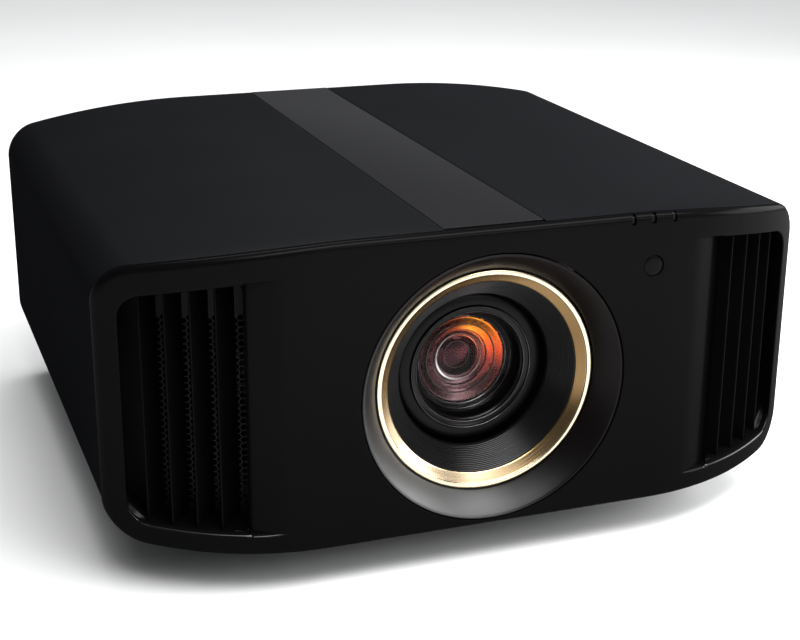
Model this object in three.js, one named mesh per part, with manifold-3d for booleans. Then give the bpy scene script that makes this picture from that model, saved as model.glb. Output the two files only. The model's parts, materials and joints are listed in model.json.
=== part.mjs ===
// Home projector: black moulded casing, wide front bezel with two louvred exhaust vents,
// a recessed zoom lens on a two-axis shift mount, fans, light source, electronics and rear panel.
// Millimetres, +Z up, front faces -Y. Working coordinates inside the group: X right, Y depth behind
// the front plane, Z above the underside of the casing. The group then puts the origin on the floor
// under the middle of the bounding box.
import * as THREE from 'three';
import { mergeVertices } from 'three/addons/utils/BufferGeometryUtils.js';
import Module from 'manifold-3d';

// ---------------------------------------------------------------- driving dimensions
const HALF_W = 250;          // half width of the casing
const DEPTH = 480;           // casing depth at the centre
const Z_TOP = 205.5;         // top plane above the casing underside
const CROWN_X = 94, CROWN_DROP = 18.4;      // the top falls away outside CROWN_X
const BELLY_X = 107, BELLY_RISE = 8.5;      // the underside rises outside BELLY_X
const R_TOP = 22, R_BOT_BEZEL = 24.4, R_BOT_BODY = 29;
const WING_X = 118.5, WING_R = 189;         // front wings sweep back outside WING_X
const REAR_X = 72, REAR_BACK = 5;           // rear edge sweeps forward a little outside REAR_X
const BEZEL_T = 5.8;         // bezel edge depth
const SEAM = 0.8;            // open seam between bezel and cover
const WALL = 3;              // casing wall
const LENS_Z = 96.3;         // lens axis height
const R_FLARE = 91.9, R_GOLD = 76.8, R_GOLD_IN = 67.1, R_WELL = 54, R_BARREL = 53;
const VENT_IN = 164.5, VENT_OUT = 236.4, RAMP_IN = 143, VENT_DEPTH = 34;
const VENT_TOP = 18.8, VENT_BOT = 14.6, VENT_CORNER = 13;
const SLAT_X = [180, 194.8, 209.4, 223.4], SLAT_RUN = 16, SLAT_DEPTH = 22, SLAT_T = 1.8;
const GAP = 0.3;             // working gap between touching pieces
const FOOT_H = 28;           // floor to casing underside
const SHIFT_X = 5, SHIFT_Z = 8.5;           // lens shift travel either way

const wasm = await Module();
wasm.setup();

// ---------------------------------------------------------------- solids
function toSolid(geometry) {
  const g = geometry.clone();
  g.deleteAttribute('normal'); g.deleteAttribute('uv');
  const m = mergeVertices(g, 1e-4);
  const p = Float32Array.from(m.attributes.position.array);
  let idx = Uint32Array.from(m.index.array);
  const keep = [];
  for (let i = 0; i < idx.length; i += 3) {
    const [a, b, c] = [idx[i], idx[i + 1], idx[i + 2]];
    if (a !== b && b !== c && a !== c) keep.push(a, b, c);
  }
  let vol = 0;
  for (let i = 0; i < keep.length; i += 3) {
    const [a, b, c] = [keep[i] * 3, keep[i + 1] * 3, keep[i + 2] * 3];
    vol += p[a] * (p[b + 1] * p[c + 2] - p[b + 2] * p[c + 1]) - p[a + 1] * (p[b] * p[c + 2] - p[b + 2] * p[c]) + p[a + 2] * (p[b] * p[c + 1] - p[b + 1] * p[c]);
  }
  if (vol < 0) for (let i = 0; i < keep.length; i += 3) { const t = keep[i]; keep[i] = keep[i + 1]; keep[i + 1] = t; }
  return new wasm.Manifold(new wasm.Mesh({ numProp: 3, vertProperties: p, triVerts: Uint32Array.from(keep) }));
}
const shapeOf = (pts) => new THREE.Shape(pts.map(([a, b]) => new THREE.Vector2(a, b)));
// polygon (x, y) carried along Z
function prismZ(pts, z0, z1) {
  const g = new THREE.ExtrudeGeometry(shapeOf(pts), { depth: z1 - z0, bevelEnabled: false, steps: 1 });
  g.translate(0, 0, z0);
  return toSolid(g);
}
// polygon (x, z) carried along Y
function prismY(pts, y0, y1) {
  const g = new THREE.ExtrudeGeometry(shapeOf(pts), { depth: y1 - y0, bevelEnabled: false, steps: 1 });
  g.rotateX(Math.PI / 2);
  g.translate(0, y1, 0);
  return toSolid(g);
}
// polygon (y, z) carried along X
function prismX(pts, x0, x1) {
  const g = new THREE.ExtrudeGeometry(shapeOf(pts), { depth: x1 - x0, bevelEnabled: false, steps: 1 });
  g.applyMatrix4(new THREE.Matrix4().set(0, 0, 1, x0, 1, 0, 0, 0, 0, 1, 0, 0, 0, 0, 0, 1));
  return toSolid(g);
}
function box(x0, x1, y0, y1, z0, z1) {
  const g = new THREE.BoxGeometry(x1 - x0, y1 - y0, z1 - z0);
  g.translate((x0 + x1) / 2, (y0 + y1) / 2, (z0 + z1) / 2);
  return toSolid(g);
}
// profile [r, y] turned about the lens direction, centre (cx, cz)
function turnY(profile, seg, cx = 0, cz = LENS_Z, closed = true) {
  const pts = profile.map(([r, y]) => new THREE.Vector2(r, y));
  if (closed) pts.push(pts[0].clone());
  const g = new THREE.LatheGeometry(pts, seg);
  g.translate(cx, 0, cz);
  return toSolid(g);
}
function turnZ(profile, seg, cx, cy, closed = true) {
  const pts = profile.map(([r, z]) => new THREE.Vector2(r, z));
  if (closed) pts.push(pts[0].clone());
  const g = new THREE.LatheGeometry(pts, seg);
  g.rotateX(Math.PI / 2);
  g.translate(cx, cy, 0);
  return toSolid(g);
}
function cylY(r, y0, y1, cx, cz, seg = 32) {
  const g = new THREE.CylinderGeometry(r, r, y1 - y0, seg);
  g.translate(cx, (y0 + y1) / 2, cz);
  return toSolid(g);
}
function cylZ(r, z0, z1, cx, cy, seg = 32) {
  const g = new THREE.CylinderGeometry(r, r, z1 - z0, seg);
  g.rotateX(Math.PI / 2);
  g.translate(cx, cy, (z0 + z1) / 2);
  return toSolid(g);
}
function cylX(r, x0, x1, cy, cz, seg = 32) {
  const g = new THREE.CylinderGeometry(r, r, x1 - x0, seg);
  g.rotateZ(Math.PI / 2);
  g.translate((x0 + x1) / 2, cy, cz);
  return toSolid(g);
}
const join = (...s) => s.reduce((a, b) => a.add(b));
const cut = (a, ...s) => s.reduce((p, b) => p.subtract(b), a);

const group = new THREE.Group();
group.name = 'home_projector';
group.position.set(0, -(DEPTH + 4) / 2, FOOT_H);

const FINISH = {
  casing: [0x17171a, 0.62, 0.0], strip: [0x26262a, 0.5, 0.1], gold: [0xc89b4a, 0.28, 1.0], flare: [0x3a3a3d, 0.35, 0.6],
  inner: [0x0c0c0d, 0.7, 0.0], glass: [0x2a1016, 0.05, 0.0], metal: [0xa8abb0, 0.4, 0.9], board: [0x14402a, 0.6, 0.1],
  brass: [0xb08a3c, 0.35, 1.0], rubber: [0x101010, 0.9, 0.0], grey: [0x55585c, 0.55, 0.2], lens: [0x1b1b1d, 0.4, 0.3],
};
function part(name, solid, finish, mirror = false) {
  const mesh = solid.getMesh();
  const n = mesh.numProp, count = mesh.vertProperties.length / n;
  const pos = new Float32Array(count * 3);
  for (let i = 0; i < count; i++) {
    pos[3 * i] = mesh.vertProperties[n * i] * (mirror ? -1 : 1);
    pos[3 * i + 1] = mesh.vertProperties[n * i + 1];
    pos[3 * i + 2] = mesh.vertProperties[n * i + 2];
  }
  const idx = Uint32Array.from(mesh.triVerts);
  if (mirror) for (let i = 0; i < idx.length; i += 3) { const t = idx[i]; idx[i] = idx[i + 1]; idx[i + 1] = t; }
  const g = new THREE.BufferGeometry();
  g.setAttribute('position', new THREE.BufferAttribute(pos, 3));
  g.setIndex(new THREE.BufferAttribute(idx, 1));
  g.computeVertexNormals();
  const [color, roughness, metalness] = FINISH[finish];
  const m = new THREE.Mesh(g, new THREE.MeshStandardMaterial({ color, roughness, metalness }));
  m.name = name;
  group.add(m);
}

// ---------------------------------------------------------------- casing form
const plan = (x) => { const d = Math.abs(x) - WING_X; return d <= 0 ? 0 : WING_R - Math.sqrt(WING_R * WING_R - d * d); };
const rearY = (x) => DEPTH - REAR_BACK * (Math.max(Math.abs(x) - REAR_X, 0) / (HALF_W - REAR_X)) ** 2;
const crown = (x) => Z_TOP - CROWN_DROP * (Math.max(Math.abs(x) - CROWN_X, 0) / (HALF_W - CROWN_X)) ** 2;
const belly = (x) => BELLY_RISE * (Math.max(Math.abs(x) - BELLY_X, 0) / (HALF_W - BELLY_X)) ** 2;
const fall = (x, r, w) => { const d = Math.abs(x) - (w - r); return d <= 0 ? 0 : r - Math.sqrt(Math.max(r * r - d * d, 0)); };
// cross-section outline (x, z) of the casing, moved in by inset
function section(inset, rBot) {
  const w = HALF_W - inset, rt = Math.max(R_TOP - inset, 3), rb = Math.max(rBot - inset, 3);
  const side = (r, flat) => {
    const xs = [0, flat, flat + 35, flat + 70, flat + 100].filter((x) => x < w - r - 4);
    for (let i = 0; i <= 6; i++) xs.push(w - r + r * Math.sin((i / 6) * Math.PI / 2));
    return xs;
  };
  const b = side(rb, BELLY_X), t = side(rt, CROWN_X);
  const bottom = [...b.slice(1).reverse().map((x) => -x), ...b].map((x) => [x, belly(x) + inset + fall(x, rb, w)]);
  const top = [...t.slice().reverse(), ...t.slice(1).map((x) => -x)].map((x) => [x, crown(x) - inset - fall(x, rt, w)]);
  return [...bottom, ...top];
}
// plan band (x, y) between two offsets behind the front curve
function band(off0, off1, xa, xb) {
  const xs = new Set([xa, xb]);
  for (const s of [-1, 1]) for (const x of [WING_X, 132, 146, 160, 174, 188, 202, 216, 230, 241, 250]) if (s * x > xa && s * x < xb) xs.add(s * x);
  const l = [...xs].sort((p, q) => p - q);
  return [...l.map((x) => [x, plan(x) + off0]), ...l.slice().reverse().map((x) => [x, plan(x) + off1])];
}
function planFull(off, rearInset = 0) {
  const xs = new Set([-260, 260]);
  for (const s of [-1, 1]) for (const x of [WING_X, 132, 146, 160, 174, 188, 202, 216, 230, 241, 250]) xs.add(s * x);
  const l = [...xs].sort((p, q) => p - q);
  const r = [-260, -225, -185, -145, -REAR_X, REAR_X, 145, 185, 225, 260];
  return [...l.map((x) => [x, plan(x) + off]), ...r.slice().reverse().map((x) => [x, rearY(x) - rearInset])];
}
// front-view outline (x, z) of a vent, x positive side; grow > 0 enlarges it
function ventOutline(xi, grow) {
  const xo = VENT_OUT + grow, r = VENT_CORNER + Math.min(grow, 0);
  const xs = [xi, 190, 206].filter((x) => x < xo - r && x >= xi);
  for (let i = 0; i <= 5; i++) xs.push(xo - r + r * Math.sin((i / 5) * Math.PI / 2));
  return [...xs.map((x) => [x, belly(x) + VENT_BOT - grow + fall(x, r, xo)]), ...xs.slice().reverse().map((x) => [x, crown(x) - VENT_TOP + grow - fall(x, r, xo)])];
}
const flipX = (pts) => pts.map(([x, z]) => [-x, z]).reverse();

// ---------------------------------------------------------------- front bezel
const bezelOuter = section(0, R_BOT_BEZEL);
let bezel = join(
  prismY(bezelOuter, -10, 80).intersect(prismZ(band(2.2, BEZEL_T, -250, 250), -5, 215)),
  prismY(section(2.6, R_BOT_BEZEL), -10, 80).intersect(prismZ(band(0, 2.4, -250, 250), -5, 215)));
bezel = cut(bezel, cylY(R_FLARE + GAP + 0.25, -5, 20, 0, LENS_Z, 44));
const rampCut = [];
for (let i = 0; i <= 6; i++) { const x = RAMP_IN + (VENT_IN + 1 - RAMP_IN) * i / 6, s = i / 6; rampCut.push([x, plan(x) + 4.6 * s * s * (3 - 2 * s) * 0.5 + 2.3 * s]); }
rampCut[0][1] = plan(RAMP_IN) - 0.05;
rampCut.push([VENT_IN + 1, -5], [RAMP_IN, -5]);
const rampZ = prismY([[RAMP_IN - 1, 15.2], [VENT_IN + 2, 16.2], [VENT_IN + 2, 182.2], [RAMP_IN - 1, 184.2]], -10, 60);
const ramp = prismZ(rampCut, -5, 215).intersect(rampZ);
const rampL = prismZ(flipX(rampCut), -5, 215).intersect(prismY(flipX([[RAMP_IN - 1, 15.2], [VENT_IN + 2, 16.2], [VENT_IN + 2, 182.2], [RAMP_IN - 1, 184.2]]), -10, 60));
bezel = cut(bezel, prismY(ventOutline(VENT_IN, 0), -10, 90), prismY(flipX(ventOutline(VENT_IN, 0)), -10, 90), ramp, rampL);
const IR_X = 110.3, IR_Z = 169.6, IR_R = 7.2;
bezel = cut(bezel, cylY(IR_R + GAP, -5, 10, IR_X, IR_Z, 18));
const LED_X = [94.3, 109, 124.2];
for (const x of LED_X) bezel = cut(bezel, box(x - 1.6, x + 1.6, -2, 7, 198.5, 207));
part('front_bezel', bezel, 'casing');
part('ir_window', turnY([[0, 0.2], [5.9, 0.2], [6.9, 0.9], [7.1, 1.3], [7.1, 6.4], [10.4, 6.4], [10.4, 8], [0, 8]], 18, IR_X, IR_Z, false), 'glass');
part('indicator_light_pipe', (() => {
  // three windows on stalks joined by a bar behind the bezel
  let s = box(LED_X[0] - 5, LED_X[2] + 5, 6.2, 8.8, 188, 192);
  for (const x of LED_X) s = join(s, box(x - 1.3, x + 1.3, 6.2, 8.8, 190, 201), box(x - 1.3, x + 1.3, 2, 6.5, 198.8, 201), box(x - 1.3, x + 1.3, 2, 5.2, 198.8, 203.4));
  return s;
})(), 'glass');
bezel = null;

// ---------------------------------------------------------------- lens surround
const flareCurve = [];
for (let i = 0; i <= 3; i++) { const t = i / 3; flareCurve.push([R_FLARE - 0.5 - (R_FLARE - 0.5 - 77.2) * t, 0.3 + 16.2 * (0.88 * t + 0.12 * t * t)]); }
part('flare_ring', turnY([[R_FLARE, 0.7], ...flareCurve, [77.1, 22.6], [68.6, 22.6], [68.6, 25], [79.5, 25], [89.5, 9], [93, 9], [93, 6.2], [R_FLARE, 6.2]], 44), 'flare');
part('lens_trim_ring', turnY([[R_GOLD, 16.6], [76.3, 15.8], [75.3, 16.1], [R_GOLD_IN + 0.3, 21.4], [R_GOLD_IN, 21.8], [R_GOLD_IN, 22.3], [R_GOLD, 22.3]], 44), 'gold');
const steps = [];
for (let i = 0; i < 3; i++) { const t = i / 3, r = 66.8 - (66.8 - R_WELL) * t, y = 22.7 + 15.3 * t; steps.push([r, y], [r - 2.4, y + 0.8]); }
part('lens_baffle', turnY([[68.3, 22.7], ...steps, [R_WELL, 38], [R_WELL, 40.4], [56.5, 40.4], [68.3, 27]], 32), 'inner');

// ---------------------------------------------------------------- lens
const RB = R_BARREL;
part('lens_front_ring', turnY([[43.2, 43.6], [42.7, 42.8], [41.9, 42.8], [37.3, 46.4], [37.3, 48.2], [43.2, 48.2]], 32), 'lens');
part('lens_barrel', turnY([[43.6, 43.9], [46.6, 44.3], [49.6, 46], [51.8, 48.9], [RB, 53], [RB, 99.7], [60, 99.7], [60, 105.7], [45.5, 105.7], [45.5, 128], [40, 128], [40, 48.6], [43.6, 48.6]], 28), 'inner');
part('lens_focus_cell', turnY([[39.6, 51.5], [39.6, 80], [34.5, 80], [34.5, 59.6], [36.8, 59.6], [36.8, 51.5]], 24), 'lens');
part('lens_front_element', turnY([[0, 47], [12, 47.7], [22, 49.2], [30, 51.3], [36.4, 53.6], [36.4, 58.8], [34, 59.2], [20, 57.2], [0, 56.2]], 28, 0, LENS_Z, false), 'glass');
part('lens_second_element', turnY([[0, 62.4], [16, 63.6], [28, 66.6], [34.2, 69.4], [34.2, 74], [0, 71.5]], 24, 0, LENS_Z, false), 'glass');
part('lens_zoom_cell', turnY([[39.6, 90], [39.6, 114], [28.3, 114], [28.3, 96], [36, 90]], 24), 'lens');
part('lens_zoom_element', turnY([[0, 97.5], [14, 98.5], [28, 102], [28, 108], [0, 110]], 20, 0, LENS_Z, false), 'glass');
// gears: straight thin teeth with plenty of backlash
function gear(teeth, rPitch, add, ded, thick, phase, rBore, y0, y1, cx, cz, rot = 0) {
  const pts = [], pitch = 2 * Math.PI / teeth;
  for (let i = 0; i < teeth; i++) {
    const a = i * pitch + phase;
    for (const [da, r] of [[-0.36, rPitch - ded], [-0.16, rPitch + add], [0.16, rPitch + add], [0.36, rPitch - ded]]) {
      const k = a + da * pitch * thick;
      pts.push([cx + r * Math.cos(k), cz + r * Math.sin(k)]);
    }
  }
  const s = prismY(pts, y0, y1);
  return rBore > 0 ? cut(s, cylY(rBore, y0 - 1, y1 + 1, cx, cz, 24)) : s;
}
const RING_T = 30, PIN_T = 8, RING_R = 60, PIN_R = 16, GEAR_C = RING_R + PIN_R;
const FOCUS_A = Math.PI * 0.3, ZOOM_A = Math.PI * 0.7;
const ringPhase = (a) => a;                                   // a tooth of the ring points along the line of centres
const pinPhase = (a) => a + Math.PI + Math.PI / PIN_T;        // a pinion gap receives it
part('focus_gear_ring', gear(RING_T, RING_R, 1.6, 2.0, 0.82, ringPhase(FOCUS_A), RB + 0.9, 60, 66, 0, LENS_Z), 'brass');
part('zoom_gear_ring', gear(RING_T, RING_R, 1.6, 2.0, 0.82, ringPhase(ZOOM_A), RB + 0.9, 84, 90, 0, LENS_Z), 'brass');
const motorAt = (a) => [GEAR_C * Math.cos(a), LENS_Z + GEAR_C * Math.sin(a)];
for (const [nm, a, y] of [['focus', FOCUS_A, 60], ['zoom', ZOOM_A, 84]]) {
  const [cx, cz] = motorAt(a);
  part(`${nm}_pinion`, join(gear(PIN_T, PIN_R, 1.6, 2.0, 0.82, pinPhase(a), 0, y, y + 6, cx, cz), cylY(2, y + 5, y + 9, cx, cz, 14)), 'brass');
  part(`${nm}_motor`, cut(join(cylY(8.5, y + 6.4, 101, cx, cz, 24), cylY(5, 100, 105.7, cx, cz, 16)), cylY(2.3, y + 6, y + 9.6, cx, cz, 14)), 'metal');
}
// two-axis shift mount: carriage plate (side to side) on a carriage plate (up and down) on a fixed frame
let xPlate = cut(box(-92, 92, 106, 111, LENS_Z - 66, LENS_Z + 76), cylY(45.8, 100, 120, 0, LENS_Z, 40));
xPlate = cut(xPlate, box(-93, 93, 109, 112, LENS_Z - 58.3, LENS_Z - 51.7), box(-93, 93, 109, 112, LENS_Z + 51.7, LENS_Z + 58.3));
part('lens_shift_x_carriage', xPlate, 'metal');
let zPlate = cut(box(-98, 98, 111.4, 116.4, LENS_Z - 66, LENS_Z + 76), cylY(52, 100, 125, 0, LENS_Z, 40));
zPlate = join(zPlate, box(-80, 80, 109.3, 112, LENS_Z - 58, LENS_Z - 52), box(-80, 80, 109.3, 112, LENS_Z + 52, LENS_Z + 58));
zPlate = cut(zPlate, box(-92.3, -85.7, 114.3, 117, 0, 220), box(85.7, 92.3, 114.3, 117, 0, 220));
part('lens_shift_z_carriage', zPlate, 'metal');
let frame = cut(box(-110, 110, 116.8, 122.8, 11.4, 188), cylY(58, 110, 130, 0, LENS_Z, 40));
frame = join(frame, box(-92, -86, 114.6, 117.5, LENS_Z - 80, LENS_Z + 88), box(86, 92, 114.6, 117.5, LENS_Z - 80, LENS_Z + 88), box(-110, 110, 122.5, 150, 11.4, 15.4));
part('lens_mount_frame', frame, 'metal');

// ---------------------------------------------------------------- vents: louvre, mesh, fan on each side
function louvre() {
  // region between the front and back curves, its inner side slanted towards the middle
  const xsF = [VENT_IN, 174, 188, 202, 216, 230, VENT_OUT], xsB = [VENT_OUT, 230, 216, 202, 188, 174, 160, VENT_IN - SLAT_RUN];
  const region = (g) => [[VENT_IN - g, plan(VENT_IN) + 6.2 - (g > 0 ? 0 : 1)], ...xsF.slice(1, -1).map((x) => [x, plan(x) + 6.2 - (g > 0 ? 0 : 1)]), [VENT_OUT + g, plan(VENT_OUT + g) + 6.2 - (g > 0 ? 0 : 1)],
    [VENT_OUT + g, plan(VENT_OUT + g) + VENT_DEPTH + (g > 0 ? 0 : 1)], ...xsB.slice(1, -1).map((x) => [x, plan(x) + VENT_DEPTH + (g > 0 ? 0 : 1)]), [VENT_IN - SLAT_RUN - g, plan(VENT_IN - SLAT_RUN - g) + VENT_DEPTH + (g > 0 ? 0 : 1)]];
  let s = cut(prismZ(region(2.6), -5, 215).intersect(prismY(ventOutline(VENT_IN - SLAT_RUN - 3, 2.6), -10, 110)),
    prismZ(region(0), -5, 215).intersect(prismY(ventOutline(VENT_IN - SLAT_RUN - 0, 0), -10, 110)));
  const inBand = prismZ(band(6.4, VENT_DEPTH - 0.4, 140, 240), -5, 215);
  for (const x of SLAT_X) {
    const y0 = plan(x) + 7.2, c = SLAT_T / 2;
    const blade = [[x - c, y0], [x + c, y0], [x + c - SLAT_RUN * 0.45, y0 + SLAT_DEPTH * 0.55], [x + c - SLAT_RUN, y0 + SLAT_DEPTH], [x - c - SLAT_RUN - 0.6, y0 + SLAT_DEPTH], [x - c - SLAT_RUN * 0.5, y0 + SLAT_DEPTH * 0.52]];
    s = join(s, prismZ(blade, -5, 215).intersect(prismY(ventOutline(147, 1.2), -10, 110)).intersect(inBand));
  }
  return s;
}
const louvreSolid = louvre();
part('left_louvre_grille', louvreSolid, 'inner', true);
part('right_louvre_grille', louvreSolid, 'inner');
function ventMesh() {
  let s = prismZ(band(VENT_DEPTH + 0.3, VENT_DEPTH + 1.8, 147, VENT_OUT + 2.2), -5, 215).intersect(prismY(ventOutline(147, 2.2), -10, 110));
  for (let i = 0; i < 2; i++) for (let j = 0; j < 3; j++) s = cut(s, box(158 + i * 37, 190 + i * 37, 20, 110, 27 + j * 42, 63 + j * 42));
  return s;
}
const meshSolid = ventMesh();
part('left_vent_mesh', meshSolid, 'inner', true);
part('right_vent_mesh', meshSolid, 'inner');
function fanFrame(cx, cz, y0, half, r, t) {
  const c = half - 6;
  let s = prismY([[cx - half, cz - c], [cx - c, cz - half], [cx + c, cz - half], [cx + half, cz - c], [cx + half, cz + c], [cx + c, cz + half], [cx - c, cz + half], [cx - half, cz + c]], y0, y0 + t);
  s = cut(s, cylY(r, y0 - 1, y0 + t + 1, cx, cz, 28));
  const hub = cylY(r * 0.42, y0 + t - 3, y0 + t, cx, cz, 20);
  s = join(s, hub, box(cx - r - 0.5, cx + r + 0.5, y0 + t - 3, y0 + t, cz - 2, cz + 2), box(cx - 2, cx + 2, y0 + t - 3, y0 + t, cz - r - 0.5, cz + r + 0.5));
  return join(s, box(cx - 18, cx + 18, y0 + t - 3, y0 + t, 11.4, cz - half + 1));
}
function impeller(cx, cz, y0, r, t) {
  let s = cylY(r * 0.42, y0 + 1.5, y0 + t - 4, cx, cz, 20);
  for (let i = 0; i < 7; i++) {
    const a = i * 2 * Math.PI / 7, g = new THREE.BoxGeometry(r * 0.62, 1.6, t - 9);
    g.rotateX(0.62);
    g.rotateX(Math.PI / 2);
    g.translate(r * 0.67, 0, 0);
    g.rotateY(a);
    g.translate(cx, y0 + t / 2 - 1, cz);
    s = join(s, toSolid(g));
  }
  return s;
}
const FAN_X = 198, FAN_Z = 92, FAN_Y = 92, FAN_H = 40, FAN_R = 37.5, FAN_T = 25;
part('left_fan_frame', fanFrame(-FAN_X, FAN_Z, FAN_Y, FAN_H, FAN_R, FAN_T), 'inner');
part('left_fan_impeller', impeller(-FAN_X, FAN_Z, FAN_Y, FAN_R - 1.2, FAN_T), 'grey');
part('right_fan_frame', fanFrame(FAN_X, FAN_Z, FAN_Y, FAN_H, FAN_R, FAN_T), 'inner');
part('right_fan_impeller', impeller(FAN_X, FAN_Z, FAN_Y, FAN_R - 1.2, FAN_T), 'grey');
const IN_X = -152, IN_Z = 126, IN_Y = 424;
part('intake_fan_frame', fanFrame(IN_X, IN_Z, IN_Y, FAN_H, FAN_R, FAN_T), 'inner');
part('intake_fan_impeller', impeller(IN_X, IN_Z, IN_Y, FAN_R - 1.2, FAN_T), 'grey');

// ---------------------------------------------------------------- covers and base
const COVER_Y = BEZEL_T + SEAM;
const formOuter = prismY(section(0, R_BOT_BODY), -10, 500).intersect(prismZ(planFull(COVER_Y), -20, 215));
const formInner = prismY(section(WALL, R_BOT_BODY), -10, 520);
const LAMP = { y0: 305, y1: 425, z0: 52, z1: 150 };
let cover = cut(formOuter, formInner, box(-270, 270, -10, 510, -20, 14.3));
cover = cut(cover, box(-34.9, 34.9, -5, 500, 203.9, 215));
cover = cut(cover, box(240, 260, LAMP.y0, LAMP.y1, LAMP.z0, LAMP.z1));
part('top_cover', cover, 'casing');
part('top_centre_strip', prismY([[-34.6, 204.2], [34.6, 204.2], [34.6, 205.2], [34.3, 205.5], [-34.3, 205.5], [-34.6, 205.2]], 11.3, DEPTH), 'strip');
const FEET = [[-165, 92], [165, 92], [-165, 398], [165, 398]];
let pan = cut(formOuter.intersect(box(-270, 270, -10, 510, -20, 14)), formInner);
const chamferRect = (hx, y0, y1, c) => [[-hx + c, y0], [hx - c, y0], [hx, y0 + c], [hx, y1 - c], [hx - c, y1], [-hx + c, y1], [-hx, y1 - c], [-hx, y0 + c]];
pan = join(pan, prismZ(chamferRect(198, 54, 440, 30), -8, 1.5));
pan = cut(pan, prismZ(chamferRect(195, 57, 437, 29), -5, 8));
for (const [x, y] of FEET) pan = cut(join(pan, cylZ(10, -6, 9.2, x, y, 16)), cylZ(4.5, -10, 12, x, y, 18));
// raised pad for a ceiling bracket plate, with four blind screw holes
pan = join(pan, prismZ(chamferRect(62, 192, 302, 10), -9.2, -6));
for (const x of [-45, 45]) for (const y of [210, 284]) pan = cut(join(pan, cylZ(5, -6, 4, x, y, 10)), cylZ(2.1, -10, 1, x, y, 10));
part('base_pan', pan, 'casing');
for (const [n, [x, y]] of [['front_left', FEET[0]], ['front_right', FEET[1]], ['rear_left', FEET[2]], ['rear_right', FEET[3]]])
  part(`foot_${n}`, turnZ([[0, -FOOT_H], [17, -FOOT_H], [18.5, -26.5], [18.5, -19], [11, -14], [11, -8.4], [4, -8.4], [4, 2.4], [0, 2.4]], 14, x, y, false), 'rubber');
let tray = prismZ(chamferRect(222, 62, 462, 20), 9.5, 11.1);
tray = join(tray, box(-222, -220.4, 90, 440, 10, 20), box(220.4, 222, 90, 440, 10, 20), box(219, 238, 306, 315.5, 20, 110), box(214, 222, 306, 315.5, 10, 40));
tray = cut(tray, cylX(3.3, 230, 245, 311, 101, 14));
part('chassis_tray', tray, 'metal');

// ---------------------------------------------------------------- optics, light source, electronics
let optic = join(box(-78, 78, 152, 300, 30, 150), cylY(38, 131, 153, 0, LENS_Z, 32), box(-70, 70, 170, 290, 11.4, 31));
for (let i = 0; i < 9; i++) optic = cut(optic, box(-66 + i * 15, -59 + i * 15, 200, 305, 128, 151));
optic = join(optic, box(77, 149.6, 252, 298, 62, 132));
part('optical_block', optic, 'grey');
let lamp = prismX([[319, 60], [416, 60], [420, 64], [420, 138], [416, 142], [319, 142]], 150, 244.2);
lamp = cut(lamp, cylX(30, 148, 205, 368, 101, 28), box(236, 250, 334, 404, 112, 130));
lamp = join(lamp, box(237.5, 243, 333, 405, 118.5, 123.5));
part('lamp_module', lamp, 'grey');
let lampCover = join(box(246.9, 249.7, LAMP.y0 + 0.4, LAMP.y1 - 0.4, LAMP.z0 + 0.4, LAMP.z1 - 0.4), box(244.6, 247.2, 334, 404, 70, 106));
lampCover = cut(lampCover, cylX(3.4, 240, 260, 311, 101, 18), cylX(5.6, 248.4, 260, 311, 101, 20), box(248.4, 255, 402, 418, 80, 122));
part('lamp_cover', lampCover, 'casing');
part('lamp_cover_screw', cut(join(cylX(5.2, 248.7, 250, 311, 101, 18), cylX(3, 233, 249, 311, 101, 14)), box(249.3, 252, 305, 317, 100.4, 101.6)), 'metal');
part('main_board', join(box(-150, 130, 306, 448, 172, 173.8), box(-110, -70, 330, 370, 173, 178), box(20, 60, 340, 380, 173, 186), box(-30, -5, 400, 430, 173, 177), box(-146, -140, 312, 318, 78.3, 173), box(120, 126, 312, 318, 11.4, 173), box(-100, -94, 400, 406, 11.4, 173)), 'board');
let psu = cut(box(-218, -100, 180, 330, 11.4, 78), box(-215, -103, 183, 327, 14, 70));
for (let i = 0; i < 8; i++) psu = cut(psu, box(-212 + i * 14, -205 + i * 14, 190, 300, 60, 80));
part('power_supply', psu, 'metal');

// ---------------------------------------------------------------- rear panel, sockets, buttons, filter
const RY0 = 470, RY1 = 473;
let rear = prismY(section(WALL + 0.4, R_BOT_BODY), RY0, RY1);
const FILT = { x0: -204, x1: -100, z0: 82, z1: 170 };
rear = cut(rear, box(FILT.x0, FILT.x1, 460, 480, FILT.z0, FILT.z1));
const SOCK_Z = 62;
const sockets = [
  ['hdmi_socket_1', 66, 17, 8, 14.6, 5.2, 13], ['hdmi_socket_2', 40, 17, 8, 14.6, 5.2, 13], ['lan_socket', 14, 17, 14, 12.4, 9, 13],
  ['usb_socket', -10, 15.4, 8.2, 13, 5.6, 14], ['serial_socket', -44, 31, 13, 17, 8.6, 8],
];
for (const [name, x, w, h, iw, ih, d] of sockets) {
  rear = cut(rear, box(x - w / 2 - GAP, x + w / 2 + GAP, 460, 480, SOCK_Z - h / 2 - GAP, SOCK_Z + h / 2 + GAP));
  part(name, cut(join(box(x - w / 2, x + w / 2, 456, 474.2, SOCK_Z - h / 2, SOCK_Z + h / 2), box(x - w / 2 - 2, x + w / 2 + 2, 466, 469.6, SOCK_Z - h / 2 - 2, SOCK_Z + h / 2 + 2)),
    box(x - iw / 2, x + iw / 2, 474.2 - d, 480, SOCK_Z - ih / 2, SOCK_Z + ih / 2)), 'metal');
}
const AC_X = -160, AC_Z = 44;
rear = cut(rear, box(AC_X - 14.3, AC_X + 14.3, 460, 480, AC_Z - 10.8, AC_Z + 10.8));
let ac = cut(join(box(AC_X - 14, AC_X + 14, 452, 474.2, AC_Z - 10.5, AC_Z + 10.5), box(AC_X - 17, AC_X + 17, 473.3, 476, AC_Z - 13.5, AC_Z + 13.5)), box(AC_X - 12.2, AC_X + 12.2, 457, 480, AC_Z - 8.6, AC_Z + 8.6));
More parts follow.
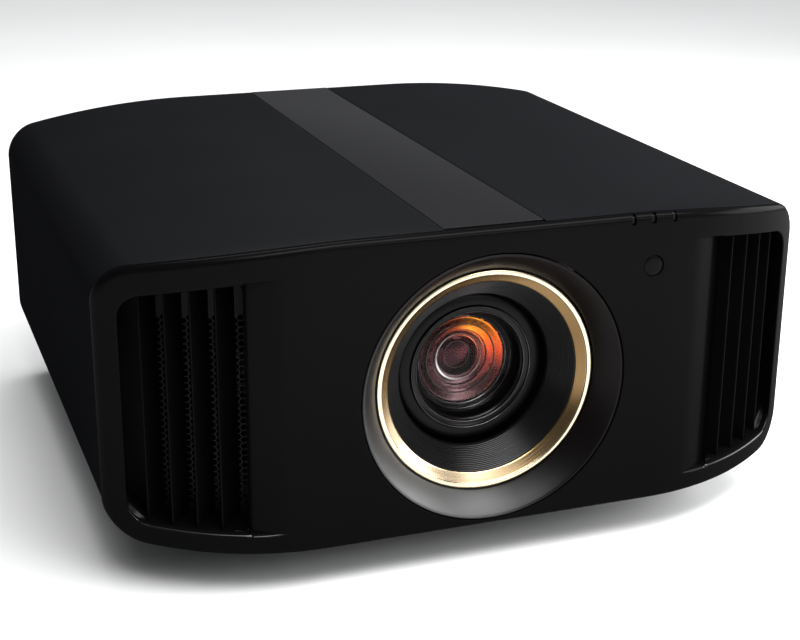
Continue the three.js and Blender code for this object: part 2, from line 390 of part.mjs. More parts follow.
for (const [dx, dz] of [[-7, -2], [7, -2], [0, 2]]) ac = join(ac, box(AC_X + dx - 1, AC_X + dx + 1, 455, 471, AC_Z + dz - 2, AC_Z + dz + 2));
part('ac_inlet', ac, 'inner');
const NAV_X = 172, NAV_Z = 66;
const buttons = [['power_button', 124, 84, 6], ['input_button', 124, 48, 5], ['menu_button', 208, 88, 4.5], ['back_button', 208, 44, 4.5], ['ok_button', NAV_X, NAV_Z, 6.4]];
for (const [name, x, z, r] of buttons) {
  if (name !== 'ok_button') rear = cut(rear, cylY(r + GAP, 460, 480, x, z, 14));
  part(name, turnY([[0, 464], [r + 1.6, 464], [r + 1.6, 466], [r, 466], [r, 475.2], [r - 0.7, 475.9], [0, 475.9]], 14, x, z, false), 'strip');
}
rear = cut(rear, cylY(17.4, 460, 480, NAV_X, NAV_Z, 18));
part('cursor_ring_button', turnY([[9, 466.4], [9, 469.8], [7, 469.8], [7, 475.6], [16.2, 475.6], [17, 474.9], [17, 469.5], [18.6, 469.5], [18.6, 466.4]], 18, NAV_X, NAV_Z), 'strip');
// intake surround standing proud of the panel sets the overall depth
rear = join(rear, cut(box(FILT.x0 - 8, FILT.x1 + 8, 472, DEPTH + 4, FILT.z0 - 8, FILT.z1 + 8), box(FILT.x0, FILT.x1, 460, 500, FILT.z0, FILT.z1)));
part('rear_panel', rear, 'casing');
let filt = box(FILT.x0 + GAP, FILT.x1 - GAP, 462, 480, FILT.z0 + GAP, FILT.z1 - GAP);
for (let j = 0; j < 6; j++) filt = cut(filt, box(FILT.x0 + 5, FILT.x1 - 5, 450, 490, FILT.z0 + 6 + j * 13.2, FILT.z0 + 15.6 + j * 13.2));
filt = join(filt, box(-158, -146, 479, 482.6, FILT.z0 + 0.9, FILT.z0 + 5.4));
part('filter_frame', filt, 'inner');

export default group;
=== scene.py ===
import json
import math
import bpy
import bmesh
import numpy as np
from mathutils import Matrix, Vector
from mathutils.geometry import delaunay_2d_cdt


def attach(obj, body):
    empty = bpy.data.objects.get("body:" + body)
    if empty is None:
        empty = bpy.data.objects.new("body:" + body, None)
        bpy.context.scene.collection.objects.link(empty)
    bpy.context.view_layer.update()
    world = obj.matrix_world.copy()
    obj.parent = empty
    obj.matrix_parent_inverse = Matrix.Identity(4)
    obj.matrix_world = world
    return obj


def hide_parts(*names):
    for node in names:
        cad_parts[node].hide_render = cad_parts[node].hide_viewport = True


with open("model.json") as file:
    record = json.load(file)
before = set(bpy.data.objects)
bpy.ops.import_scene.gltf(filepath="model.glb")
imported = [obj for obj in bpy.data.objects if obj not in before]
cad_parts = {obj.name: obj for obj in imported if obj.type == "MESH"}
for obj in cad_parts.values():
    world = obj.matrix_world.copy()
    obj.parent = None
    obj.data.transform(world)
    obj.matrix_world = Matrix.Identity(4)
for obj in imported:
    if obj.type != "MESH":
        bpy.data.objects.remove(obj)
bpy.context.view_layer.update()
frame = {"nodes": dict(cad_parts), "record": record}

NODES = frame["nodes"]

# ------------------------------------------------------------------ dimensions, mm, as in the CAD
HALF_W, DEPTH, Z_TOP = 250.0, 480.0, 205.5
CROWN_X, CROWN_DROP, BELLY_X, BELLY_RISE = 94.0, 18.4, 107.0, 8.5
R_TOP, R_BOT_BEZEL, R_BOT_BODY = 22.0, 24.4, 29.0
WING_X, WING_R = 118.5, 189.0
REAR_X, REAR_BACK = 72.0, 5.0
LENS_Z = 96.3
VENT_IN, VENT_OUT, RAMP_IN, VENT_DEPTH = 164.5, 236.4, 143.0, 34.0
VENT_TOP, VENT_BOT, VENT_CORNER = 18.8, 14.6, 13.0
RAMP_D = 5.2
SLAT_X = (180.0, 194.8, 209.4, 223.4)
SLAT_RUN, SLAT_DEPTH = 16.0, 22.0
Y0, Z0 = 242.0, 28.0


def T(v):
    a = np.array(v, float).reshape(-1, 3)
    return np.stack([a[:, 0], a[:, 1] - Y0, a[:, 2] + Z0], 1) / 1000.0


def plan(x):
    d = np.clip(np.abs(np.asarray(x, float)) - WING_X, 0, WING_R * 0.999)
    return WING_R - np.sqrt(WING_R ** 2 - d ** 2)


def crown(x):
    return Z_TOP - CROWN_DROP * (np.clip(np.abs(x) - CROWN_X, 0, None) / (HALF_W - CROWN_X)) ** 2


def belly(x):
    return BELLY_RISE * (np.clip(np.abs(x) - BELLY_X, 0, None) / (HALF_W - BELLY_X)) ** 2


def rear_y(x):
    return DEPTH - REAR_BACK * (np.clip(np.abs(x) - REAR_X, 0, None) / (HALF_W - REAR_X)) ** 2


# ------------------------------------------------------------------ mesh helpers
def mesh_object(name, verts_mm, faces, mats, body, replaces=(), slot=None, sharp=32.0, smooth=True, fix=True, face_mats=None):
    me = bpy.data.meshes.new(name)
    me.from_pydata(T(verts_mm).tolist(), [], [list(map(int, f)) for f in faces])
    me.update()
    ob = bpy.data.objects.new(name, me)
    bpy.context.scene.collection.objects.link(ob)
    if not isinstance(mats, (list, tuple)):
        mats = [mats]
    for m in mats:
        me.materials.append(m)
    if face_mats is not None:
        me.polygons.foreach_set("material_index", np.asarray(face_mats, np.int32))
    tidy(ob, sharp, smooth, fix)
    if body:
        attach(ob, body)
        if replaces:
            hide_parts(*([replaces] if isinstance(replaces, str) else replaces))
    return ob


def tidy(ob, sharp=32.0, smooth=True, fix=True, merge=1e-7):
    bm = bmesh.new()
    bm.from_mesh(ob.data)
    bmesh.ops.remove_doubles(bm, verts=bm.verts, dist=merge)
    bmesh.ops.dissolve_degenerate(bm, dist=merge, edges=bm.edges)
    if fix:
        bmesh.ops.recalc_face_normals(bm, faces=bm.faces)
    lim = math.radians(sharp)
    for f in bm.faces:
        f.smooth = smooth
    for e in bm.edges:
        e.smooth = not (len(e.link_faces) == 2 and e.calc_face_angle(0) > lim)
    bm.to_mesh(ob.data)
    bm.free()
    ob.data.update()


def grid_faces(rows, cols, base=0, close_cols=False, close_rows=False):
    f = []
    for j in range(rows if close_rows else rows - 1):
        j2 = (j + 1) % rows
        for i in range(cols if close_cols else cols - 1):
            i2 = (i + 1) % cols
            f.append((base + j * cols + i, base + j * cols + i2, base + j2 * cols + i2, base + j2 * cols + i))
    return f


def round_corners(poly, radii, n=5):
    """closed polygon [(a, b)], a radius for each corner; returns a denser closed polygon"""
    P = [np.array(p, float) for p in poly]
    out = []
    for i, p in enumerate(P):
        r = radii[i] if isinstance(radii, (list, tuple)) else radii
        a, b = P[i - 1], P[(i + 1) % len(P)]
        u, v = a - p, b - p
        lu, lv = np.linalg.norm(u), np.linalg.norm(v)
        if r <= 0 or lu < 1e-9 or lv < 1e-9:
            out.append(p)
            continue
        u, v = u / lu, v / lv
        c = float(np.clip(u @ v, -1, 1))
        ang = math.acos(c)
        if ang > math.radians(176):
            out.append(p)
            continue
        d = min(r / math.tan(ang / 2), 0.48 * lu, 0.48 * lv)
        rr = d * math.tan(ang / 2)
        s, e = p + u * d, p + v * d
        bis = (u + v) / np.linalg.norm(u + v)
        cen = p + bis * (rr / math.sin(ang / 2))
        a0, a1 = s - cen, e - cen
        th = math.atan2(a0[0] * a1[1] - a0[1] * a1[0], a0 @ a1)
        for k in range(n + 1):
            t = th * k / n
            ct, st = math.cos(t), math.sin(t)
            out.append(cen + np.array([a0[0] * ct - a0[1] * st, a0[0] * st + a0[1] * ct]))
    return [tuple(q) for q in out]


def lathe_data(profile, seg, cx=0.0, cz=LENS_Z, axis="y", closed=True, cy=0.0):
    """profile [(r, h)]; returns vertices and faces turned round the axis"""
    V, rows = [], []
    th = np.linspace(0, 2 * math.pi, seg, endpoint=False)
    for r, h in profile:
        if r < 1e-6:
            rows.append([len(V)])
            V.append((cx, h, cz) if axis == "y" else (cx, cy, h))
        else:
            rows.append(list(range(len(V), len(V) + seg)))
            for t in th:
                V.append((cx + r * math.cos(t), h, cz + r * math.sin(t)) if axis == "y" else (cx + r * math.cos(t), cy + r * math.sin(t), h))
    F = []
    n = len(rows)
    for j in range(n if closed else n - 1):
        a, b = rows[j], rows[(j + 1) % n]
        if len(a) == 1 and len(b) == 1:
            continue
        for i in range(seg):
            k = (i + 1) % seg
            if len(a) == 1:
                F.append((a[0], b[k], b[i]))
            elif len(b) == 1:
                F.append((a[i], a[k], b[0]))
            else:
                F.append((a[i], a[k], b[k], b[i]))
    return V, F


def lathe(name, profile, seg, mats, body, cx=0.0, cz=LENS_Z, replaces=(), slot=None, sharp=30.0, closed=True, axis="y", cy=0.0):
    V, F = lathe_data(profile, seg, cx, cz, axis, closed, cy)
    return mesh_object(name, V, F, mats, body, replaces, slot, sharp)


def prism(poly, lo, hi, axis):
    """poly [(a, b)]; axis y: a=x b=z; axis x: a=y b=z; axis z: a=x b=y"""
    n = len(poly)
    place = {"y": lambda a, b, h: (a, h, b), "x": lambda a, b, h: (h, a, b), "z": lambda a, b, h: (a, b, h)}[axis]
    V = [place(a, b, lo) for a, b in poly] + [place(a, b, hi) for a, b in poly]
    F = [tuple(range(n)), tuple(range(2 * n - 1, n - 1, -1))]
    F += [(i, (i + 1) % n, n + (i + 1) % n, n + i) for i in range(n)]
    return V, F


def rect(a0, a1, b0, b1):
    return [(a0, b0), (a1, b0), (a1, b1), (a0, b1)]


def soft_prism(poly, lo, hi, axis, edge=0.6, n=3, ends=(True, True)):
    """prism whose end edges are rounded: rings that step inwards near each end"""
    P = np.array(poly, float)
    area = 0.5 * np.sum(P[:, 0] * np.roll(P[:, 1], -1) - P[:, 1] * np.roll(P[:, 0], -1))
    if area < 0:
        P = P[::-1]
    nrm = offset_dirs(P)
    rings = []
    steps = [(edge * (1 - math.sin(t)), edge * (1 - math.cos(t))) for t in np.linspace(0, math.pi / 2, n + 1)]
    if ends[0]:
        rings += [(d, lo + h) for d, h in steps]
    else:
        rings.append((0, lo))
    if ends[1]:
        rings += [(d, hi - h) for d, h in reversed(steps)]
    else:
        rings.append((0, hi))
    place = {"y": lambda a, b, h: (a, h, b), "x": lambda a, b, h: (h, a, b), "z": lambda a, b, h: (a, b, h)}[axis]
    V = []
    for d, h in rings:
        for (a, b) in P + nrm * d:
            V.append(place(a, b, h))
    c = len(P)
    F = grid_faces(len(rings), c, close_cols=True)
    F.append(tuple(range(c)))
    F.append(tuple(range(len(V) - 1, len(V) - 1 - c, -1)))
    return V, F


def offset_dirs(P):
    """inward offset directions (for a counter-clockwise loop), mitred at corners"""
    e = np.roll(P, -1, 0) - P
    L = np.linalg.norm(e, axis=1, keepdims=True)
    e = e / np.maximum(L, 1e-9)
    nl = np.stack([-e[:, 1], e[:, 0]], 1)
    n1, n2 = np.roll(nl, 1, 0), nl
    m = n1 + n2
    k = np.sum(m * n1, 1, keepdims=True)
    return m / np.maximum(k, 0.35)


def join_data(*parts):
    V, F = [], []
    for v, f in parts:
        b = len(V)
        V += [tuple(p) for p in v]
        F += [tuple(i + b for i in q) for q in f]
    return V, F


def raw_object(name, V, F):
    me = bpy.data.meshes.new(name)
    me.from_pydata(T(V).tolist(), [], [list(map(int, f)) for f in F])
    ob = bpy.data.objects.new(name, me)
    bpy.context.scene.collection.objects.link(ob)
    bm = bmesh.new()
    bm.from_mesh(me)
    bmesh.ops.remove_doubles(bm, verts=bm.verts, dist=1e-7)
    bmesh.ops.recalc_face_normals(bm, faces=bm.faces)
    bm.to_mesh(me)
    bm.free()
    return ob


def boolean(ob, tools, op="DIFFERENCE", sharp=32.0):
    for k, (V, F) in enumerate(tools):
        c = raw_object("tool", V, F)
        m = ob.modifiers.new("b", "BOOLEAN")
        m.operation, m.solver, m.object = op, "EXACT", c
        dg = bpy.context.evaluated_depsgraph_get()
        dg.update()
        me = bpy.data.meshes.new_from_object(ob.evaluated_get(dg))
        ob.modifiers.clear()
        old = ob.data
        ob.data = me
        bpy.data.meshes.remove(old)
        bpy.data.objects.remove(c)
    tidy(ob, sharp, True, False, 1e-6)
    return ob


def in_poly(pts, poly):
    x, y = pts[:, 0], pts[:, 1]
    inside = np.zeros(len(pts), bool)
    n = len(poly)
    for i in range(n):
        x1, y1 = poly[i]
        x2, y2 = poly[(i + 1) % n]
        if y1 == y2:
            continue
        c = ((y1 > y) != (y2 > y)) & (x < (x2 - x1) * (y - y1) / (y2 - y1) + x1)
        inside ^= c
    return inside


def resample(P, step):
    """open polyline to near-even spacing, ends kept, last point left out"""
    P = np.array(P, float)
    s = np.r_[0, np.cumsum(np.linalg.norm(np.diff(P, axis=0), axis=1))]
    n = max(int(round(s[-1] / step)), 1)
    t = np.linspace(0, s[-1], n + 1)[:-1]
    return np.stack([np.interp(t, s, P[:, 0]), np.interp(t, s, P[:, 1])], 1)


# casing cross-section, (x, z), counter-clockwise from the middle of the underside
def section_curve(inset=0.0, r_bot=R_BOT_BODY, r_top=R_TOP, fine=1):
    w = HALF_W - inset
    rb, rt = max(r_bot - inset, 2.0), max(r_top - inset, 2.0)

    def fall(x, r):
        d = np.clip(np.abs(x) - (w - r), 0, r)
        return r - np.sqrt(np.maximum(r * r - d * d, 0))
    xb = np.r_[np.linspace(0, BELLY_X, 8)[:-1], np.linspace(BELLY_X, w - rb, 24)[:-1], (w - rb) + rb * np.sin(np.linspace(0, math.pi / 2, 14))]
    xt = np.r_[np.linspace(0, CROWN_X, 8)[:-1], np.linspace(CROWN_X, w - rt, 28)[:-1], (w - rt) + rt * np.sin(np.linspace(0, math.pi / 2, 13))]
    b = np.stack([xb, belly(xb) + inset + fall(xb, rb)], 1)
    t = np.stack([xt, crown(xt) - inset - fall(xt, rt)], 1)[::-1]
    right = np.r_[b, t]
    left = right[::-1].copy()[1:-1]
    left[:, 0] *= -1
    return np.r_[right, left]


# ------------------------------------------------------------------ material helpers
def srgb(r, g, b):
    f = lambda c: ((c / 255.0 + 0.055) / 1.055) ** 2.4 if c / 255.0 > 0.04045 else c / 255.0 / 12.92
    return (f(r), f(g), f(b), 1.0)


class Mat:
    def __init__(self, name, base, rough, metal=0.0, spec=0.5, **kw):
        self.m = bpy.data.materials.new(name)
        self.m.use_nodes = True
        self.nt = self.m.node_tree
        self.p = self.nt.nodes["Principled BSDF"]
        self.p.inputs["Base Color"].default_value = base if len(base) == 4 else (*base, 1)
        self.p.inputs["Roughness"].default_value = rough
        self.p.inputs["Metallic"].default_value = metal
        self.p.inputs["Specular IOR Level"].default_value = spec
        for k, v in kw.items():
            self.p.inputs[k.replace("_", " ")].default_value = v
        self.m.diffuse_color = self.p.inputs["Base Color"].default_value
        self.height = None

    def node(self, t, **kw):
        n = self.nt.nodes.new(t)
        for k, v in kw.items():
            setattr(n, k, v)
        return n

    def link(self, a, b):
        self.nt.links.new(a, b)

    def coord(self, scale=(1, 1, 1)):
        tc = self.node("ShaderNodeTexCoord")
        mp = self.node("ShaderNodeMapping")
        mp.inputs["Scale"].default_value = scale
        self.link(tc.outputs["Object"], mp.inputs["Vector"])
        return mp.outputs["Vector"]

    def math(self, op, a, b=None, c=None):
        n = self.node("ShaderNodeMath", operation=op)
        for i, v in enumerate((a, b, c)):
            if v is None:
                continue
            if isinstance(v, (int, float)):
                n.inputs[i].default_value = v
            else:
                self.link(v, n.inputs[i])
        return n.outputs[0]

    def noise(self, vec, scale, detail=3.0, rough=0.5):
        n = self.node("ShaderNodeTexNoise")
        n.inputs["Scale"].default_value = scale
        n.inputs["Detail"].default_value = detail
        n.inputs["Roughness"].default_value = rough
        self.link(vec, n.inputs["Vector"])
        return n.outputs["Fac"]

    def ramp(self, fac, stops):
        r = self.node("ShaderNodeValToRGB")
        e = r.color_ramp.elements
        while len(e) < len(stops):
            e.new(0.5)
        for i, (pos, col) in enumerate(stops):
            e[i].position = pos
            e[i].color = col if len(col) == 4 else (*col, 1)
        self.link(fac, r.inputs["Fac"])
        return r.outputs["Color"]

    def map(self, fac, a, b, c, d):
        n = self.node("ShaderNodeMapRange")
        for i, v in enumerate((a, b, c, d)):
            n.inputs[i + 1].default_value = v
        self.link(fac, n.inputs[0])
        return n.outputs[0]

    def bump(self, height, strength, dist):
        b = self.node("ShaderNodeBump")
        b.inputs["Strength"].default_value = strength
        b.inputs["Distance"].default_value = dist
        self.link(height, b.inputs["Height"])
        if self.height is not None:
            self.link(self.height, b.inputs["Normal"])
        self.height = b.outputs["Normal"]
        self.link(self.height, self.p.inputs["Normal"])

    def polar(self):
        """radius from the lens axis, angle round it, and depth, in metres and turns"""
        tc = self.node("ShaderNodeTexCoord")
        s = self.node("ShaderNodeSeparateXYZ")
        self.link(tc.outputs["Object"], s.inputs[0])
        z = self.math("SUBTRACT", s.outputs[2], (LENS_Z + Z0) / 1000.0)
        r = self.math("SQRT", self.math("ADD", self.math("MULTIPLY", s.outputs[0], s.outputs[0]), self.math("MULTIPLY", z, z)))
        a = self.math("ARCTAN2", z, s.outputs[0])
        return r, a, s.outputs[1], s.outputs[0], z


def combine(m, x, y, z):
    c = m.node("ShaderNodeCombineXYZ")
    for i, v in enumerate((x, y, z)):
        if isinstance(v, (int, float)):
            c.inputs[i].default_value = v
        else:
            m.link(v, c.inputs[i])
    return c.outputs[0]


def moulded(name, base, rough, coat, grain=2600.0, grain_h=0.00003, strength=0.35, mottle=0.08, coat_rough=0.36):
    """moulded plastic with a spark-eroded grain, slight tone and gloss drift"""
    m = Mat(name, base, rough, 0.0, 0.0)
    m.p.inputs["Coat Weight"].default_value = coat
    m.p.inputs["Coat Roughness"].default_value = coat_rough
    v = m.coord()
    fine = m.noise(v, grain, 2.0, 0.6)
    mid = m.noise(v, 700.0, 3.0, 0.55)
    big = m.noise(v, 14.0, 3.0, 0.5)
    m.bump(m.math("ADD", m.math("MULTIPLY", fine, 0.7), m.math("MULTIPLY", mid, 0.3)), strength, grain_h)
    m.link(m.height, m.p.inputs["Coat Normal"])
    b = np.array(base[:3])
    col = m.ramp(m.math("ADD", m.math("MULTIPLY", big, 0.7), m.math("MULTIPLY", mid, 0.3)),
                 [(0.30, tuple(b * (1 - mottle))), (0.70, tuple(b * (1 + mottle)))])
    m.link(col, m.p.inputs["Base Color"])
    m.link(m.map(m.math("ADD", m.math("MULTIPLY", big, 0.6), m.math("MULTIPLY", fine, 0.4)), 0.3, 0.7, rough - 0.04, rough + 0.05), m.p.inputs["Roughness"])
    return m.m


def turned(name, base, rough, metal, spec=0.5, ring=9000.0, h=0.000006, strength=0.25, tint=0.06, **kw):
    """lathe-turned metal: fine rings round the lens axis"""
    m = Mat(name, base, rough, metal, spec, **kw)
    r, a, y, x, z = m.polar()
    v = combine(m, m.math("MULTIPLY", r, 1.0), m.math("MULTIPLY", a, 0.0006), y)
    rings = m.noise(v, ring, 2.0, 0.5)
    soft = m.noise(v, ring * 0.13, 2.0, 0.5)
    m.bump(rings, strength, h)
    b = np.array(base[:3])
    m.link(m.ramp(soft, [(0.3, tuple(b * (1 - tint))), (0.7, tuple(np.minimum(b * (1 + tint), 1)))]), m.p.inputs["Base Color"])
    m.link(m.map(rings, 0.3, 0.7, rough - 0.03, rough + 0.04), m.p.inputs["Roughness"])
    return m.m


def sheet(name, base, rough, metal=1.0, scale=220.0, stretch=(1, 14, 1), tint=0.1, spec=0.5):
    """rolled or cast metal: streaked or mottled"""
    m = Mat(name, base, rough, metal, spec)
    n = m.noise(m.coord(stretch), scale, 4.0, 0.6)
    b = np.array(base[:3])
    m.link(m.ramp(n, [(0.3, tuple(b * (1 - tint))), (0.7, tuple(np.minimum(b * (1 + tint), 1)))]), m.p.inputs["Base Color"])
    m.link(m.map(n, 0.3, 0.7, max(rough - 0.07, 0.05), rough + 0.08), m.p.inputs["Roughness"])
    m.bump(n, 0.2, 0.00002)
    return m.m


MAT = {}
MAT["casing"] = moulded("casing_plastic", (0.0022, 0.0022, 0.0024), 0.46, 0.062, coat_rough=0.22)
MAT["recess"] = moulded("recess_plastic", (0.0022, 0.0022, 0.0024), 0.46, 0.16, coat_rough=0.24)
MAT["cover"] = moulded("cover_plastic", (0.0058, 0.0060, 0.0070), 0.48, 0.085)


def matt_sides(mat):
    """the sides are coarser and duller than the top"""
    nt = mat.node_tree
    p = nt.nodes["Principled BSDF"]
    g = nt.nodes.new("ShaderNodeNewGeometry")
    s = nt.nodes.new("ShaderNodeSeparateXYZ")
    tr = nt.nodes.new("ShaderNodeVectorTransform")
    tr.vector_type, tr.convert_from, tr.convert_to = "NORMAL", "WORLD", "OBJECT"
    nt.links.new(g.outputs["Normal"], tr.inputs[0])
    nt.links.new(tr.outputs[0], s.inputs[0])
    r = nt.nodes.new("ShaderNodeMapRange")
    for i, v in enumerate((0.35, 0.9, 0.003, 0.078)):
        r.inputs[i + 1].default_value = v
    nt.links.new(s.outputs[2], r.inputs[0])
    nt.links.new(r.outputs[0], p.inputs["Coat Weight"])



def fade(mat, rng, axis="y", factor=None):
    """coat weight that drifts slowly along one axis of the part, as a big moulding's finish does"""
    nt = mat.node_tree
    p = nt.nodes["Principled BSDF"]
    tc = nt.nodes.new("ShaderNodeTexCoord")
    s = nt.nodes.new("ShaderNodeSeparateXYZ")
    nt.links.new(tc.outputs["Object"], s.inputs[0])
    r = nt.nodes.new("ShaderNodeMapRange")
    for i, v in enumerate(rng):
        r.inputs[i + 1].default_value = v
    nt.links.new(s.outputs["xyz".index(axis)], r.inputs[0])
    out = r.outputs[0]
    if factor:
        q = nt.nodes.new("ShaderNodeMapRange")
        for i, v in enumerate(factor):
            q.inputs[i + 1].default_value = v
        nt.links.new(s.outputs[0], q.inputs[0])
        m = nt.nodes.new("ShaderNodeMath")
        m.operation = "MULTIPLY"
        nt.links.new(out, m.inputs[0])
        nt.links.new(q.outputs[0], m.inputs[1])
        out = m.outputs[0]
    old = [l for l in nt.links if l.to_socket == p.inputs["Coat Weight"]]
    if old and old[0].from_node.bl_idname == "ShaderNodeMapRange":
        nt.links.new(out, old[0].from_node.inputs[4])
    else:
        nt.links.new(out, p.inputs["Coat Weight"])


matt_sides(MAT["cover"])
fade(MAT["cover"], (-0.23, 0.24, 0.080, 0.056), "y", (-0.25, -0.08, 0.50, 1.0))
fade(MAT["casing"], (0.03, 0.20, 0.036, 0.066), "z")
# painted highlight: a lighter, much glossier copy of the casing plastic, given only to the lower vent lips and outer
# lower corners so they read as lit edges
MAT["casing_edge_painted_highlight"] = moulded("casing_edge_painted_highlight", (0.0030, 0.0030, 0.0032), 0.40, 0.62, grain_h=0.000008, coat_rough=0.20)
MAT["inner"] = moulded("inner_plastic", (0.0026, 0.0026, 0.0028), 0.50, 0.070, mottle=0.12)
MAT["button"] = moulded("button_plastic", (0.010, 0.010, 0.011), 0.36, 0.30, grain_h=0.000012, coat_rough=0.22)
MAT["rubber"] = moulded("foot_rubber", (0.012, 0.012, 0.012), 0.85, 0.02, grain=1500.0, grain_h=0.00006, mottle=0.15, coat_rough=0.6)
MAT["fan"] = moulded("fan_plastic", (0.014, 0.014, 0.0155), 0.5, 0.15)
MAT["lamp"] = moulded("lamp_plastic", (0.045, 0.045, 0.048), 0.6, 0.3)
MAT["media"] = moulded("filter_media", (0.075, 0.075, 0.078), 0.9, 0.02, grain=900.0, grain_h=0.0002, mottle=0.25, coat_rough=0.7)
MAT["socket"] = sheet("socket_steel", (0.42, 0.42, 0.43), 0.28, 1.0, 300.0, (1, 3, 12))
MAT["steel"] = sheet("sheet_steel", (0.36, 0.37, 0.38), 0.36, 1.0, 160.0, (1, 10, 1))
MAT["alloy"] = sheet("alloy_cast", (0.30, 0.30, 0.31), 0.50, 1.0, 420.0, (1, 1, 1), 0.15)
MAT["brass"] = turned("gear_brass", (0.55, 0.38, 0.13), 0.30, 1.0, ring=5000.0)
MAT["nose"] = turned("nose_black", (0.0036, 0.0036, 0.0038), 0.24, 0.0, 0.16, ring=6000.0, h=0.000003, strength=0.1)
MAT["ring_metal"] = turned("ring_metal", (0.16, 0.15, 0.155), 0.26, 0.7, 0.5, ring=7000.0, h=0.000005)
MAT["lens_metal"] = turned("lens_metal", (0.014, 0.014, 0.0145), 0.26, 0.0, 0.45, ring=6000.0, h=0.000006)


def strip_material():
    m = Mat("strip_plastic", (0.010, 0.010, 0.011), 0.40, 0.0, 0.0)
    m.p.inputs["Coat Roughness"].default_value = 0.24
    tc = m.node("ShaderNodeTexCoord")
    sy = m.node("ShaderNodeSeparateXYZ")
    m.link(tc.outputs["Object"], sy.inputs[0])
    m.link(m.map(sy.outputs[1], -0.23, 0.24, 0.145, 0.27), m.p.inputs["Coat Weight"])
    v = m.coord((1.0, 0.02, 1.0))
    brushed = m.noise(v, 5200.0, 3.0, 0.6)
    grain = m.noise(m.coord(), 2400.0, 2.0, 0.6)
    m.bump(brushed, 0.16, 0.00001)
    m.bump(grain, 0.18, 0.00001)
    m.link(m.height, m.p.inputs["Coat Normal"])
    m.link(m.ramp(brushed, [(0.3, (0.0085, 0.0085, 0.0095)), (0.7, (0.0120, 0.0120, 0.0132))]), m.p.inputs["Base Color"])
    m.link(m.map(grain, 0.3, 0.7, 0.36, 0.45), m.p.inputs["Roughness"])
    return m.m


def flare_painted_highlight_material():
    m = Mat("flare_dark", (0.0024, 0.0021, 0.0022), 0.34, 0.0, 0.10)
    r, a, y, x, z = m.polar()
    t = m.math("ADD", m.math("MULTIPLY", a, 1 / (2 * math.pi)), 0.5)
    m.p.inputs["Coat Roughness"].default_value = 0.44
    # the coat weight follows the angle round the lens axis (0 left, .25 below, .5 right): strongest on the lower left
    # and bottom, none on the right and top, to go with the painted highlight below
    m.link(m.ramp(t, [(0.0, (0.55,) * 3), (0.08, (0.90,) * 3), (0.14, (1.0,) * 3), (0.21, (0.96,) * 3), (0.25, (0.68,) * 3), (0.29, (0.22,) * 3), (0.33, (0.03,) * 3), (0.40, (0.0,) * 3), (0.60, (0.0,) * 3), (0.76, (0.04,) * 3), (0.88, (0.25,) * 3), (1.0, (0.55,) * 3)]), m.p.inputs["Coat Weight"])
    v = combine(m, r, m.math("MULTIPLY", a, 0.0010), y)
    rings = m.noise(v, 5200.0, 2.0, 0.5)
    cloud = m.noise(m.coord(), 26.0, 3.0, 0.5)
    m.bump(rings, 0.06, 0.000004)
    # painted highlight: the base colour follows the angle round the lens axis, lighter on the lower left and bottom of
    # the cone and near black on the right and top, standing in for the lit side; the cloud noise only softens its edge
    tone = m.math("ADD", t, m.math("MULTIPLY", m.math("SUBTRACT", cloud, 0.5), 0.03))
    m.link(m.ramp(tone, [(0.0, (0.0050,) * 3), (0.07, (0.026,) * 3), (0.15, (0.038,) * 3), (0.23, (0.024,) * 3), (0.29, (0.0058,) * 3), (0.35, (0.0020, 0.0017, 0.0017)), (0.62, (0.0030, 0.0014, 0.0014)), (0.80, (0.0026, 0.0018, 0.0018)), (1.0, (0.0050,) * 3)]), m.p.inputs["Base Color"])
    m.link(m.map(m.math("ADD", m.math("MULTIPLY", cloud, 0.6), m.math("MULTIPLY", rings, 0.4)), 0.3, 0.7, 0.33, 0.38), m.p.inputs["Roughness"])
    return m.m


def gold_material():
    m = Mat("trim_gold", (0.42, 0.275, 0.135), 0.26, 1.0, 0.5)
    r, a, y, x, z = m.polar()
    v = combine(m, r, m.math("MULTIPLY", a, 0.0002), y)
    rings = m.noise(v, 6200.0, 2.0, 0.5)
    cloud = m.noise(m.coord(), 40.0, 3.0, 0.5)
    m.bump(rings, 0.07, 0.000004)
    t = m.math("ADD", m.math("MULTIPLY", a, 1 / (2 * math.pi)), 0.5)
    wob = m.math("MULTIPLY", m.math("SUBTRACT", m.math("ADD", m.math("MULTIPLY", rings, 0.5), m.math("MULTIPLY", cloud, 0.5)), 0.5), 0.06)
    # painted light: the bevel's colour follows the angle round the lens axis, pale gold on the lower left and dark
    # brown on the right, standing in for how the lamps light the ring
    bevel_painted_light = m.ramp(m.math("ADD", t, wob), [(0.0, (0.44, 0.30, 0.155)), (0.10, (0.66, 0.53, 0.36)), (0.24, (0.56, 0.43, 0.27)), (0.34, (0.40, 0.27, 0.13)), (0.44, (0.23, 0.145, 0.066)), (0.56, (0.17, 0.105, 0.046)),
                                         (0.68, (0.26, 0.165, 0.075)), (0.80, (0.40, 0.26, 0.125)), (1.0, (0.44, 0.30, 0.155))])
    mix = m.node("ShaderNodeMix", data_type="RGBA")
    m.link(m.map(r, 0.0729, 0.0733, 0.0, 1.0), mix.inputs[0])
    m.link(bevel_painted_light, mix.inputs[6])
    mix.inputs[7].default_value = (0.84, 0.71, 0.50, 1)
    m.link(mix.outputs[2], m.p.inputs["Base Color"])
    m.link(m.map(rings, 0.3, 0.7, 0.19, 0.28), m.p.inputs["Roughness"])
    return m.m


